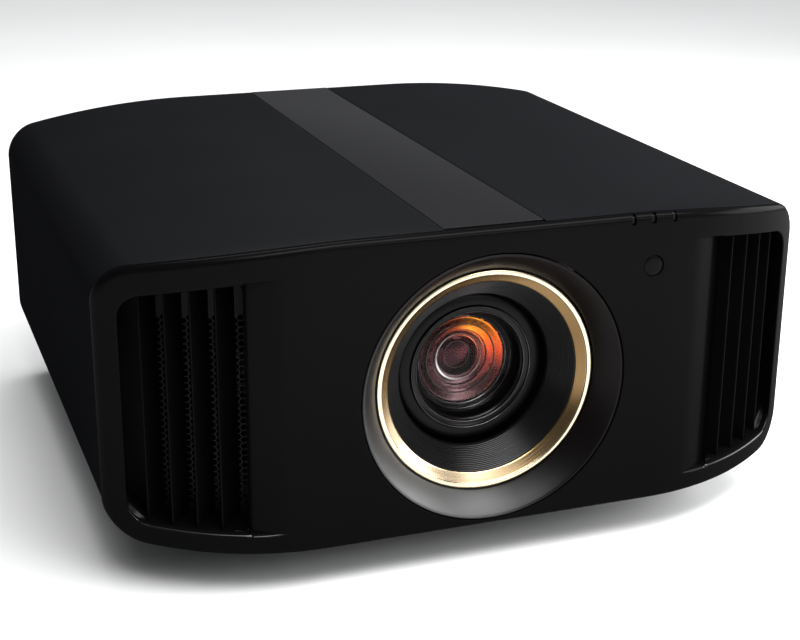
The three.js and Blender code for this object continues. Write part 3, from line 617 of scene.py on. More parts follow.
def baffle_material():
    m = Mat("baffle_black", (0.0030, 0.0030, 0.0034), 0.30, 0.0, 0.16)
    r, a, y, x, z = m.polar()
    t = m.math("ADD", m.math("MULTIPLY", a, 1 / (2 * math.pi)), 0.5)
    m.p.inputs["Coat Roughness"].default_value = 0.26
    m.link(m.ramp(t, [(0.0, (0.0,) * 3), (0.12, (0.10,) * 3), (0.25, (0.30,) * 3), (0.40, (0.18,) * 3), (0.52, (0.12,) * 3), (0.64, (0.30,) * 3), (0.76, (0.85,) * 3), (0.86, (0.45,) * 3), (0.95, (0.0,) * 3), (1.0, (0.0,) * 3)]), m.p.inputs["Coat Weight"])
    v = combine(m, r, m.math("MULTIPLY", a, 0.0010), y)
    rings = m.noise(v, 4200.0, 2.0, 0.5)
    m.bump(rings, 0.15, 0.00001)
    m.link(m.map(rings, 0.3, 0.7, 0.25, 0.36), m.p.inputs["Roughness"])
    m.link(m.ramp(rings, [(0.3, (0.0030, 0.0030, 0.0034)), (0.7, (0.0042, 0.0042, 0.0046))]), m.p.inputs["Base Color"])
    return m.m


def coated_glass(name, tint, rough=0.03, amount=1.0):
    """anti-reflection coated glass: clear, with a coloured film"""
    m = Mat(name, (*tint, 1), rough, 0.0, 0.5)
    m.p.inputs["Transmission Weight"].default_value = amount
    m.p.inputs["IOR"].default_value = 1.5
    n = m.noise(m.coord(), 300.0, 2.0, 0.5)
    m.link(m.map(n, 0.3, 0.7, max(rough - 0.01, 0.0), rough + 0.015), m.p.inputs["Roughness"])
    return m


MAT["strip"] = strip_material()
MAT["barrel"] = moulded("barrel_black", (0.0026, 0.0026, 0.0030), 0.42, 0.20, grain=4200.0, grain_h=0.000008, coat_rough=0.34)
MAT["flare"] = flare_painted_highlight_material()
MAT["gold"] = gold_material()
MAT["baffle"] = baffle_material()


def dark_gloss(name, base, rough, spec=0.5, **kw):
    m = Mat(name, base, rough, 0.0, spec, **kw)
    n = m.noise(m.coord(), 90.0, 3.0, 0.5)
    b = np.array(base[:3])
    m.link(m.ramp(n, [(0.3, tuple(b * 0.85)), (0.7, tuple(b * 1.15))]), m.p.inputs["Base Color"])
    m.link(m.map(n, 0.3, 0.7, rough * 0.8, rough * 1.25), m.p.inputs["Roughness"])
    return m.m


MAT["ir"] = dark_gloss("ir_filter", (0.0030, 0.0026, 0.0027), 0.18, 0.045)
MAT["led"] = dark_gloss("indicator_smoke", (0.007, 0.007, 0.0075), 0.30, 0.10)
MAT["mesh"] = sheet("mesh_black", (0.0048, 0.0048, 0.0050), 0.45, 0.0, 500.0, (1, 1, 1), 0.15, 0.12)
MAT["screw"] = sheet("screw_steel", (0.10, 0.10, 0.105), 0.34, 1.0, 600.0, (1, 1, 1), 0.15)
MAT["pins"] = sheet("contact_brass", (0.62, 0.50, 0.28), 0.25, 1.0, 900.0, (1, 1, 1), 0.1)
MAT["tongue"] = moulded("contact_tongue", (0.015, 0.015, 0.016), 0.5, 0.4)
MAT["mark"] = moulded("legend_grey", (0.42, 0.42, 0.42), 0.55, 0.4, mottle=0.05)


def board_material():
    m = Mat("circuit_board", (0.01, 0.06, 0.03), 0.4, 0.0, 0.5)
    v = m.coord()
    vo = m.node("ShaderNodeTexVoronoi", distance="CHEBYCHEV")
    vo.inputs["Scale"].default_value = 120.0
    m.link(v, vo.inputs["Vector"])
    m.link(m.ramp(vo.outputs["Distance"], [(0.35, (0.012, 0.075, 0.035)), (0.42, (0.02, 0.12, 0.05))]), m.p.inputs["Base Color"])
    m.bump(vo.outputs["Distance"], 0.3, 0.0001)
    return m.m


MAT["board"] = board_material()
SLOT_MAT = {"casing_black": "casing", "strip_black": "strip", "trim_gold": "gold", "flare_dark": "flare", "inner_black": "inner", "lens_metal": "lens_metal",
            "ir_glass": "ir", "led_window": "led", "sheet_steel": "steel", "alloy_cast": "alloy", "gear_brass": "brass", "circuit_board": "board",
            "foot_rubber": "rubber", "fan_grey": "fan", "lamp_plastic": "lamp", "socket_steel": "socket", "button_gloss": "button", "lens_glass": "glass"}


# ------------------------------------------------------------------ front bezel
def vent_loop(xi=VENT_IN, grow=0.0, step=2.4):
    """right vent outline (x, z), counter-clockwise, starting at the lower inner corner"""
    xo, r = VENT_OUT + grow, VENT_CORNER + min(grow, 0)
    xs = np.r_[np.arange(xi, xo - r, step), (xo - r) + r * np.sin(np.linspace(0, math.pi / 2, 12))]
    d = np.clip(xs - (xo - r), 0, r)
    fall = r - np.sqrt(np.maximum(r * r - d * d, 0))
    bot = np.stack([xs, belly(xs) + VENT_BOT - grow + fall], 1)
    top = np.stack([xs, crown(xs) - VENT_TOP + grow - fall], 1)[::-1]
    side = resample([bot[-1], top[0]], step)[1:]
    inner = resample([top[-1], bot[0]], step)[1:]
    return np.r_[bot, side, top, inner]


def smooth01(t):
    t = np.clip(t, 0, 1)
    return t * t * (3 - 2 * t)


def front_y(x, z):
    ax = np.abs(x)
    s = np.clip((ax - RAMP_IN) / (VENT_IN - RAMP_IN), 0, 1.03)
    depth = RAMP_D * (0.35 * s * s * (3 - 2 * np.clip(s, 0, 1)) + 0.65 * s)
    z0, z1 = belly(x) + VENT_BOT, crown(x) - VENT_TOP
    w = 1.45
    t0, t1 = np.clip((z - z0 + w) / w, 0, 1), np.clip((z1 + w - z) / w, 0, 1)
    lip = (1 - np.sqrt(1 - t0 * t0)) * (1 - np.sqrt(1 - t1 * t1))
    near = smooth01((VENT_IN + 0.15 - ax) / 0.7)
    return plan(x) + depth * lip * near


def circle_loop(cx, cz, r, n):
    t = np.linspace(0, 2 * math.pi, n, endpoint=False)
    return np.stack([cx + r * np.cos(t), cz + r * np.sin(t)], 1)


def build_bezel():
    V, F = [], []
    back = 5.6

    def add(P, dy, absolute=None):
        """P [(x, z)]; y from the front surface plus dy"""
        b = len(V)
        y = front_y(P[:, 0], P[:, 1]) + dy if absolute is None else plan(P[:, 0]) + absolute
        V.extend(np.stack([P[:, 0], y, P[:, 1]], 1).tolist())
        return list(range(b, b + len(P)))

    def bridge(a, b):
        n = len(a)
        for i in range(n):
            j = (i + 1) % n
            F.append((a[i], a[j], b[j], b[i]))
    R = 4.3
    outer_rings = []
    for t in np.linspace(0, math.pi / 2, 9):
        P = section_curve(R * (1 - math.sin(t)) + 0.0, R_BOT_BEZEL, R_TOP)
        outer_rings.append((P, R * (1 - math.cos(t))))
    first = outer_rings[0][0]
    ids = [add(P, d) for P, d in outer_rings]
    for t in np.linspace(0, math.pi / 2, 6)[1:]:
        ids.append(add(section_curve(2.1 * (1 - math.cos(t)), R_BOT_BEZEL), 4.3 + 1.3 * math.sin(t)))
    for a, b in zip(ids[:-1], ids[1:]):
        bridge(a, b)
    outer_front, outer_back = ids[0], ids[-1]
    back_loop_outer = section_curve(2.1, R_BOT_BEZEL)
    vl = vent_loop()
    vleft = vl.copy()
    vleft[:, 0] *= -1
    vleft = vleft[::-1]
    holes = [(vl, 1.45), (vleft, 1.45), (circle_loop(0, LENS_Z, R_FLARE0 + 0.55, 180), 0.7), (circle_loop(110.3, 169.6, 7.45, 40), 0.4)]
    loops, loop_ids, back_ids, back_loops = [], [], [], []
    for L, r in holes:
        L = np.array(L)
        area = 0.5 * np.sum(L[:, 0] * np.roll(L[:, 1], -1) - L[:, 1] * np.roll(L[:, 0], -1))
        if area < 0:
            L = L[::-1]
        D = offset_dirs(L)
        prev = None
        inner_edge = (np.abs(np.abs(L[:, 0]) - VENT_IN) < 0.01) & (r > 1.3)
        rx = np.where(inner_edge, 0.7, r)
        corner = inner_edge & ((np.abs(L[:, 1] - belly(L[:, 0]) - VENT_BOT) < 0.02) | (np.abs(L[:, 1] - crown(L[:, 0]) + VENT_TOP) < 0.02))
        rd = np.where(inner_edge & ~corner, 0.7, r)
        for k, t in enumerate(np.linspace(0, math.pi / 2, 7)):
            P = L - D * np.stack([rx, np.full(len(L), r)], 1) * (1 - math.sin(t))
            cur = add(P, rd * (1 - math.cos(t)))
            if prev is None:
                loops.append(P)
                loop_ids.append(cur)
            else:
                bridge(prev, cur)
            prev = cur
        fy = front_y(L[:, 0], L[:, 1]) - plan(L[:, 0])
        cur = len(V)
        yb = plan(L[:, 0]) + np.maximum(back, fy + r + 0.5)
        V.extend(np.stack([L[:, 0], yb, L[:, 1]], 1).tolist())
        cur = list(range(cur, cur + len(L)))
        bridge(prev, cur)
        back_ids.append(cur)
        back_loops.append(L)

    def fill(outer, inner, coarse, extra, front):
        pts, edges = [], []
        for L in [outer] + inner:
            b = len(pts)
            pts += [tuple(p) for p in L]
            edges += [(b + i, b + (i + 1) % len(L)) for i in range(len(L))]
        nb = len(pts)
        xs = np.arange(-246, 246.1, coarse)
        zs = np.arange(3, 204, coarse)
        G = np.array([(x + (0.5 * coarse if j % 2 else 0), z) for j, z in enumerate(zs) for x in xs])
        if extra is not None:
            G = np.array([g for g in G if np.min(np.hypot(extra[:, 0] - g[0], extra[:, 1] - g[1])) > 1.5])
            G = np.r_[G, extra]
        ok = in_poly(G, [tuple(p) for p in outer])
        for L in inner:
            ok &= ~in_poly(G, [tuple(p) for p in L])
        G = G[ok]
        B = np.array(pts)
        keep = np.array([np.min(np.hypot(B[:, 0] - g[0], B[:, 1] - g[1])) > 0.5 for g in G])
        G = G[keep]
        allp = [Vector(p) for p in pts] + [Vector(g) for g in G]
        vo, eo, fo, ov, oe, of_ = delaunay_2d_cdt(allp, edges, [], 0, 1e-6)
        vo = np.array([tuple(v) for v in vo])
        cen = np.array([vo[list(f)].mean(0) for f in fo])
        ok = in_poly(cen, [tuple(p) for p in outer])
        for L in inner:
            ok &= ~in_poly(cen, [tuple(p) for p in L])
        tris = [f for f, k in zip(fo, ok) if k]
        return vo, tris, ov

    E = []
    for s in (-1, 1):
        for x in np.arange(141.5, 164.2, 2.1):
            for z0 in (float(belly(x)) + VENT_BOT,):
                E += [(s * x, z0 + d) for d in (-1.9, -1.42, -1.05, -0.72, -0.45, -0.24, -0.1, 0.0, 0.5, 1.6)]
            z1 = float(crown(x)) - VENT_TOP
            E += [(s * x, z1 + d) for d in (1.9, 1.42, 1.05, 0.72, 0.45, 0.24, 0.1, 0.0, -0.5, -1.6)]
        for z in np.arange(20, 181, 4.0):
            E += [(s * 142.9, z), (s * 147, z), (s * 152, z), (s * 157, z), (s * 161, z)]
    vo, tris, ov = fill(first, loops, 5.0, np.array(E), True)
    b = len(V)
    V.extend(np.stack([vo[:, 0], front_y(vo[:, 0], vo[:, 1]), vo[:, 1]], 1).tolist())
    F.extend([(b + t[0], b + t[1], b + t[2]) for t in tris])
    vo, tris, ov = fill(back_loop_outer, back_loops, 9.0, None, False)
    b = len(V)
    yb = plan(vo[:, 0]) + np.maximum(back, front_y(vo[:, 0], vo[:, 1]) - plan(vo[:, 0]) + 1.3)
    for L, ids_ in [(back_loop_outer, outer_back)] + list(zip(back_loops, back_ids)):
        pass
    key = {}
    for i, (x, z) in enumerate(vo):
        key[(round(x, 4), round(z, 4))] = i
    for L, ids_ in [(back_loop_outer, outer_back)] + list(zip(back_loops, back_ids)):
        for p, j in zip(L, ids_):
            i = key.get((round(float(p[0]), 4), round(float(p[1]), 4)))
            if i is not None:
                yb[i] = V[j][1]
    V.extend(np.stack([vo[:, 0], yb, vo[:, 1]], 1).tolist())
    F.extend([(b + t[2], b + t[1], b + t[0]) for t in tris])
    ob = mesh_object("bezel_front", V, F, MAT["casing"], None, sharp=30)
    cuts = []
    for x in (94.3, 109.0, 124.2):
        p = round_corners(rect(x - 1.55, x + 1.55, 198.6, 212.0), [0.8, 0.8, 0, 0], 4)
        cuts.append(prism(p, -3, 9, "y"))
    boolean(ob, cuts, sharp=30)
    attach(ob, "casing")
    # painted highlight: the lower vent lip faces and the outer lower corner faces take the lighter, glossier casing
    # copy
    ob.data.materials.append(MAT["casing_edge_painted_highlight"])
    for f in ob.data.polygons:
        x, z = abs(f.center.x) * 1000.0, f.center.z * 1000.0 - Z0
        if 139.0 < x < VENT_OUT + 2.0 and f.normal.y > -0.97:
            low = float(belly(x)) + VENT_BOT
            if low - 1.7 < z < low + 0.4 and f.normal.z > 0.2 or (x > VENT_OUT - 15.0 and z < low + 16.0 and f.normal.z > 0.25 and f.normal.x * f.center.x < 0):
                f.material_index = 1
    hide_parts("front_bezel")
    return ob


R_FLARE0 = 91.9
bezel = build_bezel()


# small windows behind the three notches, and the receiver window
for i, x in enumerate((94.3, 109.0, 124.2)):
    V, F = soft_prism(round_corners(rect(x - 1.35, x + 1.35, 198.9, 203.6), [0.6, 0.6, 0.3, 0.3], 3), 1.9, 8.6, "y", 0.4)
    mesh_object("indicator_window_%d" % (i + 1), V, F, MAT["led"], "casing", "indicator_light_pipe", "led_window")
lathe("ir_receiver_window", [(0, 0.35), (4.6, 0.42), (6.2, 0.62), (6.75, 0.85), (7.05, 1.3), (7.05, 5.0), (0, 5.0)], 72, MAT["ir"], "casing", 110.3, 169.6, "ir_window", "ir_glass", closed=False)
lathe("ir_receiver_collar", [(7.08, 0.75), (7.2, 0.5), (7.38, 0.62), (7.40, 1.0), (7.40, 5.2), (7.08, 5.2)], 72, MAT["inner"], "casing", 110.3, 169.6, (), "inner_black")


# ------------------------------------------------------------------ top cover, strip
def build_cover():
    r_edge = 0.4

    def columns(inset):
        P = section_curve(inset, R_BOT_BODY)
        n = len(P)
        # right side from z 14.3 upwards, over the top, down the left side
        right = [p for p in P if p[0] > 0 and p[1] >= 14.3]
        i0 = None
        idx = [i for i in range(n) if P[i][1] >= 14.3]
        Q = P[idx]
        lowR = np.array([np.interp(14.3, [P[idx[0] - 1][1], Q[0][1]], [P[idx[0] - 1][0], Q[0][0]]), 14.3])
        lowL = np.array([-lowR[0], 14.3])
        Q = np.r_[[lowR], Q, [lowL]]
        side = []
        # even steps along the tall flat side
        a = [i for i in range(len(Q) - 1) if abs(Q[i][1] - Q[i + 1][1]) > 12]
        out = []
        for i in range(len(Q)):
            out.append(Q[i])
            if i in a:
                m = int(abs(Q[i][1] - Q[i + 1][1]) // 8)
                for k in range(1, m):
                    out.append(Q[i] + (Q[i + 1] - Q[i]) * k / m)
        return np.array(out)

    def with_recess(P, floor, lo):
        """puts the strip's channel into the flat middle of the top"""
        out, done = [], False
        top = P[np.argmax(P[:, 1])][1]
        for i, p in enumerate(P):
            if abs(p[0]) < 40 and p[1] > 150:
                if not done:
                    prof = [(35.45, top), (35.2, top - 0.07), (35.0, top - 0.28), (34.92, top - 0.6), (34.9, floor), (20, floor), (0, floor)]
                    out += [np.array(q) for q in prof] + [np.array((-a, b)) for a, b in prof[:-1][::-1]]
                    done = True
                continue
            out.append(p)
        return np.array(out)

    rows = []
    t_edge = np.linspace(0, math.pi / 2, 5)
    n_mid = 26
    V = []

    def put(P, y):
        b = len(V)
        V.extend(np.stack([P[:, 0], y, P[:, 1]], 1).tolist())
        return b

    def yf(x):
        return plan(x) + 7.3

    base = with_recess(columns(0.0), 203.9, 0)
    N = len(base)
    spec = []
    for t in t_edge:
        spec.append((r_edge * (1 - math.sin(t)), 0, r_edge * (1 - math.cos(t))))
    for k in range(1, n_mid):
        spec.append((0.0, k / n_mid, 0.0))
    for t in t_edge[::-1]:
        spec.append((2.2 * (1 - math.sin(t)), 1, -2.2 * (1 - math.cos(t))))
    for inset, t, dy in spec:
        P = with_recess(columns(inset), 203.9 - inset * 0.3, 0)
        a, b = yf(P[:, 0]), rear_y(P[:, 0])
        rows.append(put(P, a + (b - a) * t + dy))
    inner = []
    for t in (1.0, 0.5, 0.0):
        P = with_recess(columns(3.0), 201.6, 0)
        # inner columns keep the same count
        a, b = yf(P[:, 0]), rear_y(P[:, 0])
        inner.append(put(P, a + (b - a) * t))
    F = []
    allr = rows + inner
    for r0, r1 in zip(allr, allr[1:] + allr[:1]):
        for i in range(N - 1):
            F.append((r0 + i, r0 + i + 1, r1 + i + 1, r1 + i))
    F.append(tuple(r for r in allr))
    F.append(tuple(r + N - 1 for r in reversed(allr)))
    ob = mesh_object("cover_top", V, F, MAT["cover"], None, sharp=30)
    # rounded opening for the lamp door
    p = round_corners(rect(305, 425, 52, 150), 5.0, 6)
    boolean(ob, [prism(p, 238, 262, "x")], sharp=30)
    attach(ob, "casing")
    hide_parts("top_cover")
    return ob


cover = build_cover()
p = round_corners(rect(-34.6, 34.6, 204.25, 205.5), [0.2, 0.2, 0.55, 0.55], 5)
V, F = soft_prism(p, 11.3, 479.6, "y", 0.45, 4)
mesh_object("strip_top", V, F, MAT["strip"], "casing", "top_centre_strip", "strip_black")
V, F = soft_prism(rect(-34.4, 34.4, 203.92, 204.3), 6.9, 12.0, "y", 0.1, 2)
mesh_object("strip_channel_floor", V, F, MAT["inner"], "casing", (), "inner_black")


# ------------------------------------------------------------------ louvres and honeycomb
def band_wall(side):
    """duct wall of one vent: outer and inner skins between the front and the mesh"""
    V, F = [], []
    rings = []

    def ring(grow, off, slant, rc=VENT_CORNER):
        L = vent_loop(VENT_IN, grow)
        P = L.copy()
        inner = np.abs(P[:, 0] - (VENT_IN)) < 0.01
        if rc > VENT_CORNER:
            # pull the lower outer corner in to a larger radius
            for i in range(len(P)):
                x, z = P[i]
                lo, hi = float(belly(x)) + VENT_BOT, float(crown(x)) - VENT_TOP
                mz = 0.5 * (lo + hi)
                cx = VENT_OUT + grow - rc
                if x > cx:
                    for cz, s in ((lo + rc, -1),):
                        if (z - cz) * s > 0:
                            d = math.hypot(x - cx, z - cz)
                            if d > rc:
                                P[i] = (cx + (x - cx) * rc / d, cz + (z - cz) * rc / d)
        # the inner side leans towards the middle with depth
        shift = slant * SLAT_RUN * np.clip((VENT_OUT - P[:, 0]) / (VENT_OUT - VENT_IN), 0, 1) ** 3
        x = P[:, 0] - shift
        if grow > 0:
            x = np.where(inner, x - grow, x)
        y = plan(x) + off
        b = len(V)
        V.extend(np.stack([x * side, y, P[:, 1]], 1).tolist())
        rings.append((b, len(P)))
    for off, sl, rc in ((5.9, 0.0, 11.0), (6.6, 0.01, 12.5), (7.6, 0.04, 15.0), (8.8, 0.09, 18.0), (10.2, 0.15, 20.5), (12.0, 0.22, 22.5), (15.0, 0.33, 24.0), (19.0, 0.48, 25.0), (24.0, 0.66, 25.5), (30.0, 0.87, 26.0), (33.9, 1.0, 26.0)):
        ring(0.02, off, sl, rc)
    for off, sl in ((33.9, 1.0), (24.0, 0.66), (13.0, 0.27), (6.0, 0.0)):
        ring(2.3, off, sl)
    for (a, n), (b, m) in zip(rings, rings[1:] + rings[:1]):
        for i in range(n):
            j = (i + 1) % n
            F.append((a + i, a + j, b + j, b + i))
    return V, F


def blade(x, side):
    y0 = float(plan(x)) + 7.2
    c = 0.95
    pts = [(x + c * 0.8, y0 + 1.4), (x + c * 0.45, y0 + 0.25), (x, y0), (x - c * 0.45, y0 + 0.25), (x - c * 0.9, y0 + 1.2),
           (x - c - SLAT_RUN * 0.12, y0 + 5.0), (x - c - SLAT_RUN * 0.28, y0 + 8.6), (x - c - SLAT_RUN * 0.5, y0 + 12.3), (x - c - SLAT_RUN * 0.76, y0 + 17.3), (x - c - SLAT_RUN, y0 + SLAT_DEPTH),
           (x + c - SLAT_RUN, y0 + SLAT_DEPTH), (x + c - SLAT_RUN * 0.72, y0 + 17.4), (x + c - SLAT_RUN * 0.45, y0 + 12.3), (x + c - SLAT_RUN * 0.24, y0 + 8.2), (x + c - SLAT_RUN * 0.08, y0 + 4.2)]
    pts = pts[::-1]
    V, F = [], []
    n = len(pts)
    zs = []
    d = max(x - (VENT_OUT - VENT_CORNER), 0)
    fall = VENT_CORNER - math.sqrt(max(VENT_CORNER ** 2 - d * d, 0))
    z0 = float(belly(x)) + VENT_BOT + fall - 0.6
    z1 = float(crown(x)) - VENT_TOP - fall + 0.6
    for k in range(9):
        z = z0 + (z1 - z0) * k / 8
        for a, b in pts:
            V.append((a * side, b, z))
    F = grid_faces(9, n, close_cols=True)
    F.append(tuple(range(n)))
    F.append(tuple(range(len(V) - 1, len(V) - 1 - n, -1)))
    return V, F


def honeycomb(side):
    """hexagonal mesh plate behind the blades, plain above and below the open field"""
    pitch, wall, t = 4.4, 0.75, 1.0
    V, F = [], []
    cache = {}

    def vid(x, z, y, kind):
        k = (round(x * 50), round(z * 50), kind)
        if k not in cache:
            cache[k] = len(V)
            V.append((x * side, float(plan(x)) + VENT_DEPTH + y, z))
        return cache[k]
    R = pitch / math.sqrt(3)
    col = 0
    x = 148.0
    while x < 238.4:
        z = 13.0 + (pitch / 2 if col % 2 else 0)
        while z < 190:
            lo, hi = float(belly(x)) + VENT_BOT - 1.5, float(crown(x)) - VENT_TOP + 1.5
            if lo < z < hi:
                ang = [math.radians(60 * k) for k in range(6)]
                o = [(x + R * math.cos(a), z + R * math.sin(a)) for a in ang]
                fo = [vid(a, b, 0.3, "f") for a, b in o]
                bo = [vid(a, b, 0.3 + t, "b") for a, b in o]
                if 22 < z < 152 and 150 < x < 217:
                    ri = R - wall / math.sqrt(3) * 1.15
                    i_ = [(x + ri * math.cos(a), z + ri * math.sin(a)) for a in ang]
                    fi = [vid(a, b, 0.3, "fi%d_%d" % (col, round(z * 10))) for a, b in i_]
                    bi = [vid(a, b, 0.3 + t, "bi%d_%d" % (col, round(z * 10))) for a, b in i_]
                    for k in range(6):
                        j = (k + 1) % 6
                        F.append((fo[k], fo[j], fi[j], fi[k]))
                        F.append((fi[k], fi[j], bi[j], bi[k]))
                        F.append((bi[k], bi[j], bo[j], bo[k]))
                else:
                    F.append(tuple(fo))
                    F.append(tuple(reversed(bo)))
            z += pitch
        x += pitch * math.sqrt(3) / 2
        col += 1
    return V, F


def close_border(V, F):
    cnt = {}
    for f in F:
        for a, b in zip(f, f[1:] + f[:1]):
            cnt[(a, b)] = cnt.get((a, b), 0) + 1
    return V, F


for side, nm in ((-1, "left"), (1, "right")):
    V, F = band_wall(side)
    mesh_object("vent_duct_" + nm, V, F, MAT["recess"], "casing", nm + "_louvre_grille", "inner_black", sharp=38)
    V, F = join_data(*[blade(x, side) for x in SLAT_X])
    mesh_object("louvre_blades_" + nm, V, F, MAT["inner"], "casing", nm + "_louvre_grille", "inner_black", sharp=38)
    V, F = honeycomb(side)
    mesh_object("honeycomb_" + nm, V, F, MAT["mesh"], "casing", nm + "_vent_mesh", "inner_black", sharp=25, smooth=False)

# ------------------------------------------------------------------ lens surround
SEG = 224
flare = [(91.75, 1.35), (91.6, 0.85), (91.3, 0.5), (90.9, 0.38), (90.4, 0.5)]
for i in range(1, 13):
    t = i / 12
    flare.append((90.4 - (90.4 - 77.9) * t, 0.5 + 15.4 * (0.76 * t + 0.24 * t * t)))
flare += [(77.75, 16.3), (77.6, 17.0), (77.55, 22.6), (68.6, 22.6), (68.6, 24.8), (79.3, 24.8), (89.3, 9.0), (91.75, 6.0)]
lathe("flare_cone", flare, SEG, MAT["flare"], "casing", replaces="flare_ring", slot="flare_dark", sharp=34)
gold = [(76.6, 18.4), (76.6, 17.3)]
for k in range(1, 13):
    u = k / 12
    gold.append((76.6 - 3.4 * (1 - math.cos(u * math.pi)) / 2, 17.3 - 1.25 * math.sin(u * math.pi) ** 0.55 - 0.1 * u))
gold += [(73.05, 17.45), (72.8, 17.6)]
for i in range(1, 9):
    t = i / 8
    gold.append((72.8 - (72.8 - 67.65) * t, 17.6 + (21.2 - 17.6) * (t ** 0.96)))
gold += [(67.3, 21.55), (67.12, 21.9), (67.1, 22.3), (76.6, 22.3)]
lathe("gold_ring", gold, SEG, MAT["gold"], "casing", replaces="lens_trim_ring", slot="trim_gold", sharp=34)
baf = [(68.2, 22.72), (66.9, 22.75)]
NG = 15
for i in range(NG):
    t0, t1 = i / NG, (i + 1) / NG
    r0, y0 = 66.9 - 12.9 * t0, 22.75 + 15.3 * t0
    r1, y1 = 66.9 - 12.9 * t1, 22.75 + 15.3 * t1
    dr, dy = r1 - r0, y1 - y0
    nx, ny = 0.765, 0.644
    for u, h in ((0.04, 0.0), (0.09, 0.10), (0.34, 0.10), (0.40, 0.0), (0.50, -0.90), (0.90, -0.90), (0.98, -0.10)):
        baf.append((r0 + dr * u - nx * h, y0 + dy * u - ny * h))
baf += [(54.0, 38.0), (53.7, 38.5), (53.7, 40.3), (56.4, 40.3), (68.2, 27.0)]
lathe("baffle_cone", baf, SEG, MAT["baffle"], "casing", replaces="lens_baffle", slot="inner_black", sharp=50)

# ------------------------------------------------------------------ lens itself
nose = [(43.2, 44.6), (43.18, 43.25), (43.05, 42.95), (42.8, 42.83), (42.55, 42.95), (42.4, 43.3), (42.2, 44.0), (41.2, 44.5), (40.0, 44.9), (39.6, 44.8), (39.45, 44.5), (39.2, 44.38), (38.95, 44.5), (38.85, 44.9),
        (38.6, 45.6), (38.0, 46.2), (37.5, 46.6), (37.3, 47.1), (37.3, 48.2), (43.2, 48.2)]
for k, (rr, y) in enumerate(((42.95, 42.9), (39.25, 44.36))):
    lathe("nose_ridge_%d" % (k + 1), [(rr + 0.22, y + 0.3), (rr + 0.14, y - 0.04), (rr, y - 0.12), (rr - 0.14, y - 0.04), (rr - 0.22, y + 0.3)], 160, MAT["ring_metal"], "lens_unit", slot="lens_metal", sharp=50)
lathe("lens_nose_ring", nose, 180, MAT["nose"], "lens_unit", replaces="lens_front_ring", slot="lens_metal", sharp=40)
shoulder = [(43.6, 44.6), (44.1, 44.35), (45.2, 44.3), (47.0, 44.4), (49.0, 44.7), (50.6, 45.2), (51.8, 45.9), (52.6, 46.9), (52.9, 48.2), (53.0, 50.0), (53.0, 53.0), (53.0, 99.7), (60, 99.7), (60, 105.7), (45.5, 105.7), (45.5, 128), (40, 128), (40, 48.6), (43.6, 48.6)]
lathe("lens_light_seal", [(53.0, 50.2), (57.0, 50.2), (57.3, 50.5), (61.0, 50.5), (61.3, 50.8), (65.6, 50.8), (66.0, 51.1), (65.8, 51.6), (53.0, 51.6)], 120, MAT["recess"], "lens_unit", slot="inner_black", sharp=30)
lathe("lens_barrel_body", shoulder, 160, MAT["barrel"], "lens_unit", replaces="lens_barrel", slot="inner_black", sharp=40)


def clear_glass(name, amount):
    """coated front glass: a faint sharp reflection over what lies behind it"""
    m = Mat(name, (0.0, 0.0, 0.0), 0.03, 0.0, 0.5)
    m.p.inputs["Coat Weight"].default_value = 0.6
    m.p.inputs["Coat Roughness"].default_value = 0.03
    n = m.noise(m.coord(), 60.0, 2.0, 0.5)
    m.link(m.map(n, 0.3, 0.7, 0.02, 0.05), m.p.inputs["Roughness"])
    m.link(m.ramp(n, [(0.3, (0.0010, 0.0004, 0.0010)), (0.7, (0.0014, 0.0006, 0.0014))]), m.p.inputs["Base Color"])
    m.p.inputs["Alpha"].default_value = amount
    return m.m


def film_with_painted_reflections(name, stops, rough, metal=0.85, lift=0.0):
    """film-coated glass deep in the lens, with painted reflections: the colour follows the angle round the axis,
    painting the coloured crescents that the lamps make in the coating
    """
    m = Mat(name, (0.2, 0.05, 0.03), rough, metal, 0.5)
    r, a, y, x, z = m.polar()
    t = m.math("ADD", m.math("MULTIPLY", a, 1 / (2 * math.pi)), 0.5)
    wob = m.math("MULTIPLY", m.math("SUBTRACT", m.noise(m.coord(), 55.0, 2.0, 0.5), 0.5), 0.05)
    # painted reflection: the colour ramp by angle puts the coloured crescents on fixed sides of each element
    col = m.ramp(m.math("ADD", t, wob), stops)
    m.link(col, m.p.inputs["Base Color"])
    n = m.noise(m.coord(), 260.0, 2.0, 0.5)
    m.link(m.map(n, 0.3, 0.7, rough * 0.85, rough * 1.15), m.p.inputs["Roughness"])
    return m.m


# angle 0 = left, .25 = below, .5 = right, .75 = above, 1 = left again
K = (0.004, 0.003, 0.004)
MAT["film_bowl"] = film_with_painted_reflections("film_amber", [(0.0, (0.030, 0.005, 0.008)), (0.10, (0.055, 0.018, 0.022)), (0.22, (0.16, 0.090, 0.095)), (0.34, (0.10, 0.036, 0.036)), (0.46, (0.22, 0.024, 0.014)), (0.54, (0.72, 0.080, 0.012)),
                                         (0.62, (1.0, 0.22, 0.014)), (0.69, (1.0, 0.34, 0.030)), (0.76, (0.36, 0.060, 0.010)), (0.84, (0.070, 0.010, 0.006)), (1.0, (0.030, 0.005, 0.008))], 0.26)
MAT["film_mid"] = film_with_painted_reflections("film_magenta", [(0.0, (0.036, 0.005, 0.010)), (0.12, (0.17, 0.105, 0.115)), (0.24, (0.22, 0.135, 0.15)), (0.38, (0.085, 0.016, 0.020)), (0.52, (0.30, 0.040, 0.030)), (0.64, (0.72, 0.20, 0.085)), (0.74, (0.26, 0.050, 0.022)),
                                          (0.86, (0.040, 0.006, 0.008)), (1.0, (0.036, 0.005, 0.010))], 0.22)
MAT["film_core"] = film_with_painted_reflections("film_core", [(0.0, (0.026, 0.003, 0.008)), (0.3, (0.024, 0.005, 0.008)), (0.55, (0.075, 0.012, 0.018)), (0.75, (0.045, 0.010, 0.012)), (1.0, (0.026, 0.003, 0.008))], 0.12)
